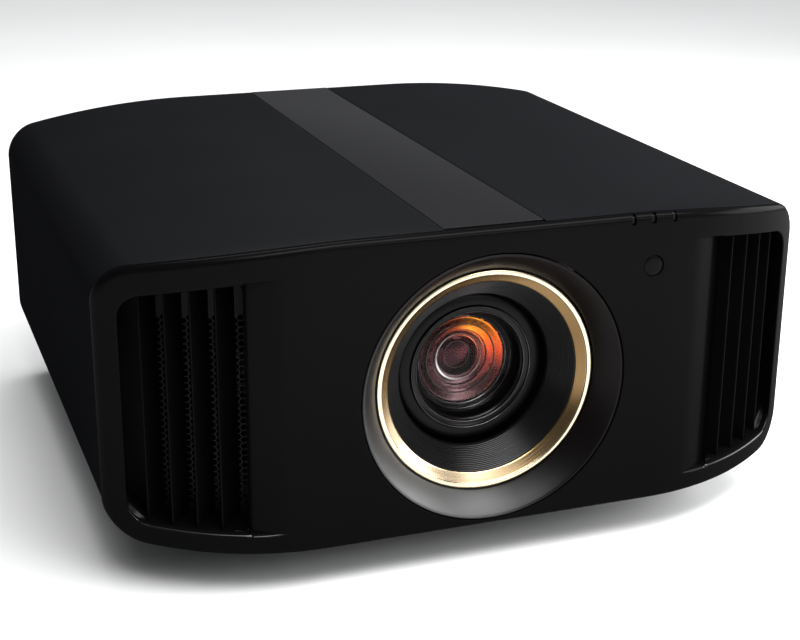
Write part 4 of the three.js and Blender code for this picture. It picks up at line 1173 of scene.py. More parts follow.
# painted highlight: a pale crescent on the lower left of the third ring, dark on the right, following the angle round
# the axis
MAT["ring_painted_highlight_arc"] = film_with_painted_reflections("ring_painted_highlight_arc", [(0.0, (0.30, 0.27, 0.28)), (0.10, (0.92, 0.88, 0.88)), (0.20, (0.80, 0.72, 0.72)), (0.32, (0.30, 0.20, 0.20)), (0.50, (0.16, 0.06, 0.04)), (0.75, (0.12, 0.05, 0.04)), (1.0, (0.30, 0.27, 0.28))], 0.22, 0.92)
MAT["step_dark"] = turned("step_dark", (0.030, 0.012, 0.010), 0.30, 0.0, 0.5, ring=7000.0, h=0.000005)

def cap(r, y_mid, radius, n=14, convex=1):
    """points from the rim to the axis of a spherical face"""
    out = []
    for i in range(n + 1):
        q = r * (1 - i / n)
        out.append((max(q, 0.0), y_mid + convex * (radius - math.sqrt(max(radius * radius - q * q, 0)))))
    return out


front = cap(36.4, 47.3, 118.0, 16)
back = cap(36.0, 53.0, 400.0, 10)
prof = [(36.4, 54.2)] + front + [(0, 53.0)]
V, F = lathe_data([(36.2, 53.9)] + [(r, y) for r, y in front], 128, closed=False)
V2, F2 = lathe_data([(36.2, 53.9)] + [(r, y) for r, y in cap(36.0, 52.2, 300.0, 8)], 128, closed=False)
V, F = join_data((V, F), (V2, F2))
mesh_object("front_element", V, F, clear_glass("glass_front", 0.06), "focus_group", "lens_front_element", "lens_glass", sharp=60)

cell = [(39.5, 54.2), (39.5, 79.9), (31.2, 79.9), (31.2, 60.4), (31.6, 59.6), (33.0, 58.6), (33.2, 57.9), (34.4, 57.0), (34.6, 56.2), (35.8, 55.3), (36.4, 54.2)]
lathe("focus_cell_bore", cell, 128, MAT["barrel"], "focus_group", replaces="lens_focus_cell", slot="lens_metal", sharp=34)
for k, (rr, y) in enumerate(((34.75, 56.5), (31.9, 59.2))):
    lathe("cell_ridge_%d" % (k + 1), [(rr + 0.30, y + 0.5), (rr + 0.16, y + 0.02), (rr - 0.10, y - 0.08), (rr - 0.32, y + 0.12), (rr - 0.38, y + 0.6)], 128, MAT["ring_metal"], "focus_group", slot="lens_metal", sharp=40)
# second element: a deep bowl whose amber colour is a painted reflection of the coating, then stepped inner elements
bowl = [(31.1, 61.0), (30.8, 60.5), (30.2, 60.3), (29.6, 60.5)]
for i in range(1, 15):
    t = i / 14
    bowl.append((29.6 - 9.2 * t, 60.5 + 4.2 * math.sin(t * math.pi / 2) ** 1.1))
bowl += [(20.3, 65.2), (20.3, 73.6), (31.1, 73.6)]
lathe("second_element_bowl", bowl, 144, MAT["film_bowl"], "focus_group", replaces="lens_second_element", slot="lens_glass", sharp=50)
lathe("bowl_step", [(25.6, 63.0), (25.3, 62.6), (24.9, 62.65), (24.6, 63.1), (24.6, 64.1), (25.6, 64.1)], 144, MAT["step_dark"], "focus_group", slot="lens_metal", sharp=30)
mid = [(20.2, 66.2), (19.8, 65.7), (19.2, 65.6), (18.6, 65.9)]
for i in range(1, 13):
    t = i / 12
    mid.append((18.6 - 4.0 * t, 65.9 + 1.9 * math.sin(t * math.pi / 2)))
mid += [(14.5, 79.6), (20.2, 79.6)]
lathe("third_element_bowl", mid, 128, MAT["film_mid"], "focus_group", slot="lens_glass", sharp=50)
lathe("third_ring", [(17.4, 67.2), (17.3, 66.6), (17.0, 66.3), (15.9, 66.55), (15.4, 67.2), (15.4, 68.6), (17.4, 68.6)], 128, MAT["ring_painted_highlight_arc"], "focus_group", slot="lens_metal", sharp=30)
lathe("core_element", [(14.5, 79.4)] + cap(14.4, 69.2, 34.0, 12), 112, MAT["film_core"], "focus_group", slot="lens_glass", sharp=60, closed=False)
lathe("core_ring", [(9.8, 70.5), (9.65, 70.1), (9.3, 70.05), (9.15, 70.4), (9.15, 71.6), (9.8, 71.6)], 96, MAT["step_dark"], "focus_group", slot="lens_metal", sharp=30)


# ------------------------------------------------------------------ base pan and underside
def chamfer_rect(hx, y0, y1, c):
    return [(-hx + c, y0), (hx - c, y0), (hx, y0 + c), (hx, y1 - c), (hx - c, y1), (-hx + c, y1), (-hx, y1 - c), (-hx, y0 + c)]


FEET = (("front_left", -165, 92), ("front_right", 165, 92), ("rear_left", -165, 398), ("rear_right", 165, 398))


def build_pan():
    def columns(inset):
        P = section_curve(inset, R_BOT_BODY)
        n = len(P)
        low = [i for i in range(n) if P[i][1] <= 14.0]
        # the loop starts in the middle of the underside: order from the left rim round to the right rim
        right = [i for i in low if P[i][0] >= 0 and i < n // 2]
        left = [i for i in low if i not in right]
        Q = np.r_[P[left], P[right]]
        xr = float(np.interp(14.0, [Q[-1][1], P[right[-1] + 1][1]], [Q[-1][0], P[right[-1] + 1][0]]))
        Q = np.r_[[(-xr, 14.0)], Q, [(xr, 14.0)]]
        Q = Q[np.r_[True, np.linalg.norm(np.diff(Q, axis=0), axis=1) > 1e-4]]
        t = np.r_[0, np.cumsum(np.linalg.norm(np.diff(Q, axis=0), axis=1))]
        s = np.linspace(0, t[-1], 121)
        return np.stack([np.interp(s, t, Q[:, 0]), np.interp(s, t, Q[:, 1])], 1)

    V, rows = [], []
    spec = [(0.8 * (1 - math.sin(t)), 0, 0.8 * (1 - math.cos(t))) for t in np.linspace(0, math.pi / 2, 5)]
    spec += [(0.0, k / 24, 0.0) for k in range(1, 24)]
    spec += [(1.2 * (1 - math.sin(t)), 1, -1.2 * (1 - math.cos(t))) for t in np.linspace(math.pi / 2, 0, 5)]
    for inset, t, dy in spec + [(3.0, 1, 0.0), (3.0, 0.5, 0.0), (3.0, 0, 0.0)]:
        P = columns(inset)
        a, b = plan(P[:, 0]) + 6.6, rear_y(P[:, 0])
        rows.append(len(V))
        V.extend(np.stack([P[:, 0], a + (b - a) * t + dy, P[:, 1]], 1).tolist())
    N = 121
    F = []
    for r0, r1 in zip(rows, rows[1:] + rows[:1]):
        F += [(r0 + i, r0 + i + 1, r1 + i + 1, r1 + i) for i in range(N - 1)]
    F.append(tuple(rows))
    F.append(tuple(r + N - 1 for r in reversed(rows)))
    ob = mesh_object("base_shell", V, F, MAT["casing"], None, sharp=30)
    tools = [lathe_data([(0, -12), (4.5, -12), (4.5, 12), (0, 12)], 40, cx=x, cy=y, axis="z", closed=False) for _, x, y in FEET]
    boolean(ob, tools, sharp=30)
    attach(ob, "casing")
    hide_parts("base_pan")


build_pan()


def build_plateau():
    # raised middle of the underside, in two steps, with a groove round it and a bracket pad
    outer = round_corners(chamfer_rect(198, 54, 440, 30), 8.0, 6)
    V, F = soft_prism(outer, -6.6, 1.4, "z", 1.6, 5, (True, False))
    ob = mesh_object("underside_plateau", V, F, MAT["casing"], None, sharp=32)
    tools = []
    # cooling slots in two fields, and shallow panel lines
    for sx in (-1, 1):
        for k in range(9):
            y = 150 + k * 12.0
            p = round_corners(rect(min(sx * 88, sx * 158), max(sx * 88, sx * 158), y, y + 4.6), 2.2, 6)
            tools.append(prism(p, -8, -4.8, "z"))
    tools.append(prism(round_corners(rect(-150, 150, 338, 339.2), 0.4, 2), -8, -6.0, "z"))
    tools.append(prism(round_corners(rect(-150, 150, 122, 123.2), 0.4, 2), -8, -6.0, "z"))
    for _, x, y in FEET:
        tools.append(lathe_data([(0, -12), (4.5, -12), (4.5, 12), (0, 12)], 40, cx=x, cy=y, axis="z", closed=False))
    boolean(ob, tools, sharp=32)
    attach(ob, "casing")
    rim = np.array(round_corners(chamfer_rect(184, 68, 426, 26), 7.0, 6))
    inn = np.array(round_corners(chamfer_rect(180.4, 71.6, 422.4, 25), 6.0, 6))
    rim, inn = (resample_loop(q, 160) for q in (rim, inn))
    V, F = [], []
    prof = [(0.0, -6.5), (0.04, -7.6), (0.16, -7.95), (0.5, -8.0), (0.84, -7.95), (0.96, -7.6), (1.0, -6.5)]
    for u, z in prof:
        P = rim * (1 - u) + inn * u
        V += [(a, b, z) for a, b in P]
    F = grid_faces(len(prof), 160, close_cols=True, close_rows=True)
    ob = mesh_object("underside_rim", V, F, MAT["casing"], None, sharp=34)
    tools = [lathe_data([(0, -12), (11.6, -12), (11.6, 12), (0, 12)], 48, cx=x, cy=y, axis="z", closed=False) for _, x, y in FEET]
    boolean(ob, tools, sharp=34)
    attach(ob, "casing")
    pad = round_corners(chamfer_rect(62, 192, 302, 10), 4.0, 5)
    V, F = soft_prism(pad, -9.2, -6.2, "z", 0.9, 4, (True, False))
    ob = mesh_object("bracket_pad", V, F, MAT["casing"], None, sharp=32)
    tools = [lathe_data([(0, -12), (4.6, -12), (4.6, -8.6), (3.4, -8.2), (3.4, -2), (0, -2)], 36, cx=x, cy=y, axis="z", closed=False) for x in (-45, 45) for y in (210, 284)]
    tools.append(prism(round_corners(rect(-34, 34, 226, 268), 5, 6), -12, -8.7, "z"))
    boolean(ob, tools, sharp=32)
    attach(ob, "casing")
    k = 0
    for x in (-45, 45):
        for y in (210, 284):
            k += 1
            prof = [(3.3, -8.5), (3.2, -8.7), (2.7, -8.7), (2.35, -8.4)]
            for j in range(7):
                prof += [(2.1, -8.2 + j * 0.8), (2.45, -7.8 + j * 0.8)]
            prof += [(2.1, -2.6), (0.0, -2.4), (0.0, -2.1), (3.3, -2.1)]
            lathe("bracket_insert_%d" % k, prof, 48, MAT["brass"], "casing", cx=x, cy=y, axis="z", slot="gear_brass", sharp=40)
    # moulded rings round the feet
    for n, x, y in FEET:
        prof = [(4.52, -7.9), (4.9, -8.0), (9.2, -8.0), (9.9, -7.8), (10.3, -7.3), (10.6, -6.4), (4.52, -6.4)]
        lathe("foot_boss_" + n, prof, 72, MAT["casing"], "casing", cx=x, cy=y, axis="z", slot="casing_black", sharp=36)


def resample_loop(P, n):
    P = np.r_[P, P[:1]]
    s = np.r_[0, np.cumsum(np.linalg.norm(np.diff(P, axis=0), axis=1))]
    t = np.linspace(0, s[-1], n + 1)[:-1]
    return np.stack([np.interp(t, s, P[:, 0]), np.interp(t, s, P[:, 1])], 1)


build_plateau()


def cross_screw(name, x, y, z, face, r=3.0, mat="screw"):
    """countersunk or pan head with a cross recess; face is "rear" (towards +Y) or "under" (towards -Z)"""
    seg = 40
    prof = [(0.0, 0.0), (r, 0.0), (r, 0.35), (r * 0.93, 0.72), (r * 0.72, 1.02), (r * 0.4, 1.16), (0.0, 1.2)]
    V, F = lathe_data(prof, seg, closed=False, axis="z")
    V = [(a, b, c) for a, b, c in V]
    w, l = r * 0.16, r * 0.58
    cross = [(w, w), (w, l), (-w, l), (-w, w), (-l, w), (-l, -w), (-w, -w), (-w, -l), (w, -l), (w, -w), (l, -w), (l, w)]
    CV, CF = prism(cross, 0.55, 2.0, "z")

    def put(P):
        if face == "rear":
            return [(x + a, y + c, z + b) for a, b, c in P]
        return [(x + a, y + b, z - c) for a, b, c in P]
    ob = mesh_object(name, put(V), F, MAT[mat], None, sharp=34)
    boolean(ob, [(put(CV), CF)], sharp=34)
    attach(ob, "casing")
    return ob


for k, (x, y) in enumerate(((-120, 100), (120, 100), (-120, 390), (120, 390), (0, 80), (0, 410))):
    cross_screw("underside_screw_%d" % (k + 1), x, y, -6.55, "under", 2.9)

# ------------------------------------------------------------------ feet
def knurled(profile, flagged, seg, cx, cy, ridges, depth):
    V, F = lathe_data(profile, seg, cx=cx, cy=cy, axis="z", closed=False)
    out, k = [], 0
    for j, (r, h) in enumerate(profile):
        if r < 1e-6:
            out.append(V[k])
            k += 1
            continue
        for i in range(seg):
            x, y, z = V[k]
            if j in flagged:
                a = 2 * math.pi * i / seg
                f = 1 - depth / r * (0.5 - 0.5 * math.cos(ridges * a)) ** 0.6
                x, y = cx + (x - cx) * f, cy + (y - cy) * f
            out.append((x, y, z))
            k += 1
    return out, F


for n, x, y in FEET:
    body = "foot_" + n
    prof = [(0, -27.2), (8.0, -27.2), (8.6, -27.9), (9.2, -28.0), (12.4, -28.0), (12.8, -27.6), (13.4, -27.6), (13.8, -28.0), (16.2, -28.0), (16.8, -27.8), (17.2, -27.2), (17.3, -26.6), (0, -26.6)]
    lathe("pad_" + n, prof, 96, MAT["rubber"], body, cx=x, cy=y, axis="z", slot="foot_rubber", sharp=34, closed=False)
    prof = [(0, -26.6), (17.4, -26.6), (18.1, -26.4), (18.45, -25.8), (18.5, -25.2), (18.5, -20.2), (18.4, -19.6), (18.0, -19.15), (16.8, -18.3), (13.2, -15.6), (11.9, -14.7), (11.2, -13.9), (11.0, -13.2), (11.0, -9.0), (10.8, -8.6), (10.4, -8.42), (0, -8.42)]
    V, F = knurled(prof, (3, 4, 5, 6), 240, x, y, 40, 0.7)
    mesh_object("adjuster_" + n, V, F, MAT["button"], body, body, "foot_rubber", sharp=36)
    prof = [(0, -8.45)]
    for k in range(9):
        prof += [(3.55, -8.4 + k * 1.2), (4.0, -7.8 + k * 1.2)]
    prof += [(3.4, 2.2), (2.9, 2.4), (0, 2.4)]
    lathe("thread_" + n, prof, 56, MAT["steel"], body, cx=x, cy=y, axis="z", slot="sheet_steel", sharp=50, closed=False)

# ------------------------------------------------------------------ rear panel
SOCK_Z = 62.0
SOCKETS = (("hdmi_socket_1", 66, 17, 8, 14.6, 5.2, 13), ("hdmi_socket_2", 40, 17, 8, 14.6, 5.2, 13), ("lan_socket", 14, 17, 14, 12.4, 9, 13),
           ("usb_socket", -10, 15.4, 8.2, 13, 5.6, 14), ("serial_socket", -44, 31, 13, 17, 8.6, 8))
AC_X, AC_Z = -160.0, 44.0
NAV_X, NAV_Z = 172.0, 66.0
BUTTONS = (("power_button", 124, 84, 6.0, "power_key"), ("input_button", 124, 48, 5.0, "input_key"), ("menu_button", 208, 88, 4.5, "menu_key"),
           ("back_button", 208, 44, 4.5, "back_key"), ("ok_button", NAV_X, NAV_Z, 6.4, "ok_key"))
FX0, FX1, FZ0, FZ1 = -204.0, -100.0, 82.0, 170.0


def cyl_y(r, y0, y1, cx, cz, seg=48):
    return lathe_data([(0, y0), (r, y0), (r, y1), (0, y1)], seg, cx, cz, "y", False)


def build_rear():
    P = section_curve(3.4, R_BOT_BODY)
    V, F = soft_prism([tuple(p) for p in P], 470.0, 473.0, "y", 0.5, 3)
    ob = mesh_object("rear_plate", V, F, MAT["casing"], None, sharp=32)
    tools = [prism(rect(-37, 37, 201.4, 212), 460, 480, "y"), prism(rect(FX0, FX1, FZ0, FZ1), 460, 480, "y")]
    # shallow recessed connector field and key field
    tools.append(prism(round_corners(rect(-68, 84, 44, 82), 4.0, 6), 472.3, 480, "y"))
    tools.append(prism(round_corners(rect(106, 224, 30, 104), 8.0, 8), 472.3, 480, "y"))
    for name, x, w, h, iw, ih, d in SOCKETS:
        tools.append(prism(round_corners(rect(x - w / 2 - 0.3, x + w / 2 + 0.3, SOCK_Z - h / 2 - 0.3, SOCK_Z + h / 2 + 0.3), 0.8, 3), 460, 480, "y"))
    tools.append(prism(rect(AC_X - 14.3, AC_X + 14.3, AC_Z - 10.8, AC_Z + 10.8), 460, 480, "y"))
    for name, x, z, r, b in BUTTONS[:4]:
        tools.append(cyl_y(r + 0.3, 460, 480, x, z))
    tools.append(cyl_y(17.4, 460, 480, NAV_X, NAV_Z, 72))
    # security slot
    tools.append(prism(round_corners(rect(-60, -52.6, 104, 107.4), 1.0, 4), 460, 480, "y"))
    # exhaust-free slot field for natural convection, shallow
    for k in range(13):
        x = -40 + k * 13.0
        tools.append(prism(round_corners(rect(x, x + 6.0, 128, 170), 2.9, 6), 471.2, 480, "y"))
    boolean(ob, tools, sharp=32)
    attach(ob, "casing")
    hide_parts("rear_panel")
    # intake surround: a proud frame with rounded corners and edges
    V, F = [], []
    n = 96
    outer = resample_loop(np.array(round_corners(rect(FX0 - 8, FX1 + 8, FZ0 - 8, FZ1 + 8), 6.0, 8)), n)
    inner = resample_loop(np.array(round_corners(rect(FX0, FX1, FZ0, FZ1), 0.4, 8)), n)
    # match the loops by angle from the centre
    c = np.array([(FX0 + FX1) / 2, (FZ0 + FZ1) / 2])

    def by_angle(loop):
        P = np.r_[loop, loop[:1]] - c
        a = np.unwrap(np.arctan2(P[:, 1], P[:, 0]))
        if a[-1] < a[0]:
            P, a = P[::-1], a[::-1]
        key = sorted(set(list(np.linspace(0, 2 * math.pi, 145)[:-1]) + [math.atan2(s * (FZ1 - FZ0) / 2, t * (FX1 - FX0) / 2) % (2 * math.pi) for s in (-1, 1) for t in (-1, 1)]))
        key = np.array(key)
        k = (key - a[0]) % (2 * math.pi) + a[0]
        return np.stack([np.interp(k, a, P[:, 0]), np.interp(k, a, P[:, 1])], 1) + c
    fine_o = resample_loop(np.array(round_corners(rect(FX0 - 8, FX1 + 8, FZ0 - 8, FZ1 + 8), 6.0, 10)), 1200)
    fine_i = resample_loop(np.array(rect(FX0, FX1, FZ0, FZ1), float), 1200)
    O, I = by_angle(fine_o), by_angle(fine_i)
    m = len(O)
    prof = [(0.0, 472.4), (0.0, 482.2), (0.03, 482.9), (0.10, 483.6), (0.2, 483.95), (0.32, 484.0), (0.62, 484.0), (0.74, 483.9), (0.86, 483.3), (0.97, 482.2), (1.0, 481.2), (1.0, 472.4)]
    for u, y in prof:
        P = O * (1 - u) + I * u
        V += [(a, y, b) for a, b in P]
    F = grid_faces(len(prof), m, close_cols=True, close_rows=True)
    mesh_object("intake_surround", V, F, MAT["casing"], "casing", (), "casing_black", sharp=32)


build_rear()
for k, (x, z) in enumerate(((-228, 30), (228, 22), (-228, 168), (226, 168), (-80, 24), (90, 22), (-74, 184), (72, 184), (0, 104))):
    cross_screw("rear_screw_%d" % (k + 1), x, 472.95, z, "rear", 2.9)


def build_sockets():
    for name, x, w, h, iw, ih, d in SOCKETS:
        z = SOCK_Z
        shell = round_corners(rect(x - w / 2, x + w / 2, z - h / 2, z + h / 2), 0.9, 4)
        if name.startswith("hdmi"):
            inner = [(x - iw / 2, z + ih / 2), (x - iw / 2, z - ih / 2 + 1.7), (x - iw / 2 + 1.9, z - ih / 2), (x + iw / 2 - 1.9, z - ih / 2), (x + iw / 2, z - ih / 2 + 1.7), (x + iw / 2, z + ih / 2)]
        elif name.startswith("serial"):
            inner = [(x - iw / 2, z + ih / 2), (x - iw / 2 + 1.5, z - ih / 2), (x + iw / 2 - 1.5, z - ih / 2), (x + iw / 2, z + ih / 2)]
        elif name.startswith("lan"):
            inner = [(x - iw / 2, z + ih / 2), (x - iw / 2, z - ih / 2 + 2.4), (x - 3.4, z - ih / 2 + 2.4), (x - 3.4, z - ih / 2), (x + 3.4, z - ih / 2), (x + 3.4, z - ih / 2 + 2.4), (x + iw / 2, z - ih / 2 + 2.4), (x + iw / 2, z + ih / 2)]
        else:
            inner = [(x - iw / 2, z - ih / 2), (x + iw / 2, z - ih / 2), (x + iw / 2, z + ih / 2), (x - iw / 2, z + ih / 2)]
        inner = round_corners(inner, 0.5, 3)
        V, F = soft_prism(shell, 456.0, 474.2, "y", 0.35, 2)
        ob = mesh_object(name + "_shell", V, F, MAT["socket"], None, sharp=32)
        cuts = [prism(inner, 474.2 - d, 480, "y")]
        if not name.startswith("serial"):
            # sprung side windows of the shell
            cuts.append(prism(round_corners(rect(x - iw / 2 + 1.4, x - iw / 2 + 3.6, z + ih / 2 - 0.1, z + h / 2 + 1), 0.05, 1), 462.0, 465.6, "y"))
            cuts.append(prism(round_corners(rect(x + iw / 2 - 3.6, x + iw / 2 - 1.4, z + ih / 2 - 0.1, z + h / 2 + 1), 0.05, 1), 462.0, 465.6, "y"))
        boolean(ob, cuts, sharp=32)
        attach(ob, "casing")
        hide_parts(name)
        # seat behind the panel
        O = np.array(round_corners(rect(x - w / 2 - 2, x + w / 2 + 2, z - h / 2 - 2, z + h / 2 + 2), 1.2, 4))
        I = np.array(round_corners(rect(x - w / 2, x + w / 2, z - h / 2, z + h / 2), 0.9, 4))
        V = []
        for P, y in ((O, 466.2), (O, 469.4), (I, 469.6), (I, 466.0)):
            V += [(a, y, b) for a, b in P]
        mesh_object(name + "_seat", V, grid_faces(4, len(O), close_cols=True, close_rows=True), MAT["socket"], "casing", (), "socket_steel", sharp=30)
        # tongue or insulator with contacts
        back = 474.2 - d
        if name.startswith("serial"):
            D = round_corners([(x - iw / 2 + 0.8, z + ih / 2 - 0.8), (x - iw / 2 + 2.1, z - ih / 2 + 0.8), (x + iw / 2 - 2.1, z - ih / 2 + 0.8), (x + iw / 2 - 0.8, z + ih / 2 - 0.8)], 0.6, 3)
            V, F = soft_prism(D, back - 0.2, 468.0, "y", 0.2, 2)
            mesh_object(name + "_insulator", V, F, MAT["tongue"], "casing", (), "inner_black", sharp=32)
            parts = []
            for row, cnt in ((1.35, 5), (-1.35, 4)):
                for i in range(cnt):
                    px = x + (i - (cnt - 1) / 2) * 2.75
                    parts.append(lathe_data([(0, 467.6), (0.5, 467.6), (0.5, 472.6), (0.38, 473.1), (0, 473.3)], 20, px, z + row, "y", False))
            mesh_object(name + "_pins", *join_data(*parts), MAT["pins"], "casing", (), "gear_brass", sharp=40)
            for s in (-1, 1):
                V, F = soft_prism([(x + s * 12.4 + 2.6 * math.cos(math.radians(a)), z + 2.6 * math.sin(math.radians(a))) for a in range(0, 360, 60)], 473.6, 476.6, "y", 0.3, 2)
                ob = mesh_object("%s_post_%s" % (name, "l" if s < 0 else "r"), V, F, MAT["socket"], None, sharp=34)
                boolean(ob, [cyl_y(1.25, 474.4, 480, x + s * 12.4, z, 28)], sharp=34)
                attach(ob, "casing")
            continue
        if name.startswith("lan"):
            parts = []
            for i in range(8):
                px = x + (i - 3.5) * 1.05
                poly = [(back - 0.1, z + ih / 2 - 0.8), (back + 8.2, z + ih / 2 - 0.8), (back + 4.6, z + 0.2), (back + 4.2, z + 0.1), (back + 7.4, z + ih / 2 - 1.3), (back - 0.1, z + ih / 2 - 1.3)]
                parts.append(prism(poly, px - 0.2, px + 0.2, "x"))
            mesh_object(name + "_pins", *join_data(*parts), MAT["pins"], "casing", (), "gear_brass", sharp=40)
            V, F = soft_prism(rect(x - iw / 2 + 0.2, x + iw / 2 - 0.2, z + ih / 2 - 0.75, z + ih / 2 - 0.1), back - 0.1, back + 9.6, "y", 0.15, 2)
            mesh_object(name + "_insulator", V, F, MAT["tongue"], "casing", (), "inner_black", sharp=32)
            parts = []
            for s in (-1, 1):
                parts.append(soft_prism(round_corners(rect(x + s * 6.9 - 1.1, x + s * 6.9 + 1.1, z - h / 2 + 1.0, z - h / 2 + 2.5), 0.3, 3), 473.9, 474.35, "y", 0.1, 2))
            mesh_object(name + "_lamps", *join_data(*parts), MAT["led"], "casing", (), "led_window", sharp=34)
            continue
        tz0, tz1 = (z - 0.75, z + 0.75) if name.startswith("hdmi") else (z + 0.35, z + 2.2)
        V, F = soft_prism(round_corners(rect(x - iw / 2 + 1.6, x + iw / 2 - 1.6, tz0, tz1), 0.2, 2), back - 0.2, 473.0, "y", 0.25, 2)
        mesh_object(name + "_tongue", V, F, MAT["tongue"], "casing", (), "inner_black", sharp=32)
        parts = []
        cnt, pitch, pw = (10, 0.98, 0.22) if name.startswith("hdmi") else (4, 2.3, 0.5)
        for i in range(cnt):
            px = x + (i - (cnt - 1) / 2) * pitch
            for zz, s in ((tz0, -1), (tz1, 1)):
                if s > 0 and not name.startswith("hdmi"):
                    continue
                a, b = sorted((zz - 0.02 * s, zz + 0.12 * s))
                parts.append(soft_prism(rect(px - pw, px + pw, a, b), back + 0.4, 472.4, "y", 0.05, 1))
        mesh_object(name + "_contacts", *join_data(*parts), MAT["pins"], "casing", (), "gear_brass", sharp=40)


build_sockets()


def build_inlet():
    fl = round_corners(rect(AC_X - 17, AC_X + 17, AC_Z - 13.5, AC_Z + 13.5), 2.2, 5)
    V, F = soft_prism(fl, 473.3, 476.0, "y", 0.5, 3)
    ob = mesh_object("mains_inlet_flange", V, F, MAT["inner"], None, sharp=32)
    V2, F2 = prism(rect(AC_X - 14, AC_X + 14, AC_Z - 10.5, AC_Z + 10.5), 452, 473.6, "y")
    boolean(ob, [(V2, F2)], op="UNION", sharp=32)
    cav = round_corners([(AC_X - 12.2, AC_Z - 8.6), (AC_X + 12.2, AC_Z - 8.6), (AC_X + 12.2, AC_Z + 4.4), (AC_X + 8.6, AC_Z + 8.6), (AC_X - 8.6, AC_Z + 8.6), (AC_X - 12.2, AC_Z + 4.4)], 1.0, 4)
    lip = np.array(cav)
    lip = lip - offset_dirs(lip) * 0.0
    boolean(ob, [prism(cav, 457, 480, "y")], sharp=32)
    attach(ob, "casing")
    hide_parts("ac_inlet")
    parts = []
    for dx, dz in ((-7, -2), (7, -2), (0, 2)):
        p = round_corners(rect(AC_X + dx - 1, AC_X + dx + 1, AC_Z + dz - 2, AC_Z + dz + 2), 0.3, 3)
        parts.append(soft_prism(p, 456.6, 471.0, "y", 0.6, 4, (False, True)))
    mesh_object("mains_inlet_pins", *join_data(*parts), MAT["pins"], "casing", (), "gear_brass", sharp=36)
    # moulded core the plug slides over
    core = round_corners([(AC_X - 9.9, AC_Z - 5.6), (AC_X + 9.9, AC_Z - 5.6), (AC_X + 9.9, AC_Z + 2.0), (AC_X + 6.6, AC_Z + 5.8), (AC_X - 6.6, AC_Z + 5.8), (AC_X - 9.9, AC_Z + 2.0)], 1.0, 4)
    V, F = soft_prism(core, 456.8, 459.4, "y", 0.5, 3)
    mesh_object("mains_inlet_core", V, F, MAT["recess"], "casing", (), "inner_black", sharp=34)


build_inlet()


# ------------------------------------------------------------------ keys
def arc_poly(cx, cz, r0, r1, a0, a1, n=28):
    A = np.radians(np.linspace(a0, a1, n))
    return [(cx + r1 * math.cos(a), cz + r1 * math.sin(a)) for a in A] + [(cx + r0 * math.cos(a), cz + r0 * math.sin(a)) for a in A[::-1]]


def mark(name, polys, body, y=475.86, h=0.07):
    parts = [prism(p, y, y + h, "y") for p in polys]
    mesh_object(name, *join_data(*parts), MAT["mark"], body, (), "led_window", sharp=40, smooth=False)


def build_keys():
    for name, x, z, r, body in BUTTONS:
        prof = [(0, 464.0), (r + 1.6, 464.0), (r + 1.6, 466.0), (r, 466.0), (r, 474.8), (r - 0.12, 475.3), (r - 0.4, 475.7), (r - 0.9, 475.88), (r - 1.2, 475.86), (r * 0.55, 475.62), (r * 0.3, 475.55), (0, 475.53)]
        lathe(name + "_cap", prof, 72, MAT["button"], body, x, z, name, "strip_black", sharp=34, closed=False)
    mark("power_mark", [arc_poly(124, 84, 1.75, 2.15, 125, 415, 36), [(123.8, 84.4), (124.2, 84.4), (124.2, 86.6), (123.8, 86.6)]], "power_key", 475.5, 0.14)
    mark("input_mark", [arc_poly(124, 48, 1.35, 1.7, 40, 320, 30), [(123.2, 47.85), (125.6, 47.85), (125.6, 48.15), (123.2, 48.15)], [(123.4, 48.9), (122.4, 48.0), (123.4, 47.1)]], "input_key", 475.5, 0.14)
    mark("menu_mark", [rect(206.6, 209.4, 88 + d - 0.2, 88 + d + 0.2) for d in (-1.1, 0.0, 1.1)], "menu_key", 475.5, 0.14)
    mark("back_mark", [arc_poly(208.1, 43.8, 1.15, 1.5, -90, 100, 22), [(208.2, 46.0), (208.2, 44.2), (206.5, 45.1)], rect(206.9, 208.2, 42.3, 42.65)], "back_key", 475.5, 0.14)
    mark("ok_mark", [arc_poly(NAV_X, NAV_Z, 1.3, 1.7, 0, 359.0, 44)], "ok_key", 475.5, 0.14)
    prof = [(9.0, 466.4), (9.0, 469.8), (7.0, 469.8), (7.0, 475.0), (7.15, 475.35), (7.5, 475.55), (8.0, 475.6), (10.0, 475.42), (12.0, 475.34), (14.0, 475.42), (15.6, 475.58), (16.3, 475.5), (16.8, 475.2), (17.0, 474.8), (17.0, 469.5), (18.6, 469.5), (18.6, 466.4)]
    lathe("cursor_ring_cap", prof, 144, MAT["button"], "cursor_key", NAV_X, NAV_Z, "cursor_ring_button", "strip_black", sharp=34)
    tri = []
    for k in range(4):
        a = math.pi / 2 * k
        u, v = np.array([math.cos(a), math.sin(a)]), np.array([-math.sin(a), math.cos(a)])
        c = np.array([NAV_X, NAV_Z]) + u * 12.2
        tri.append([tuple(c + u * 1.2), tuple(c - u * 0.6 + v * 1.3), tuple(c - u * 0.6 - v * 1.3)])
    mark("cursor_marks", tri, "cursor_key", 475.28, 0.14)


build_keys()


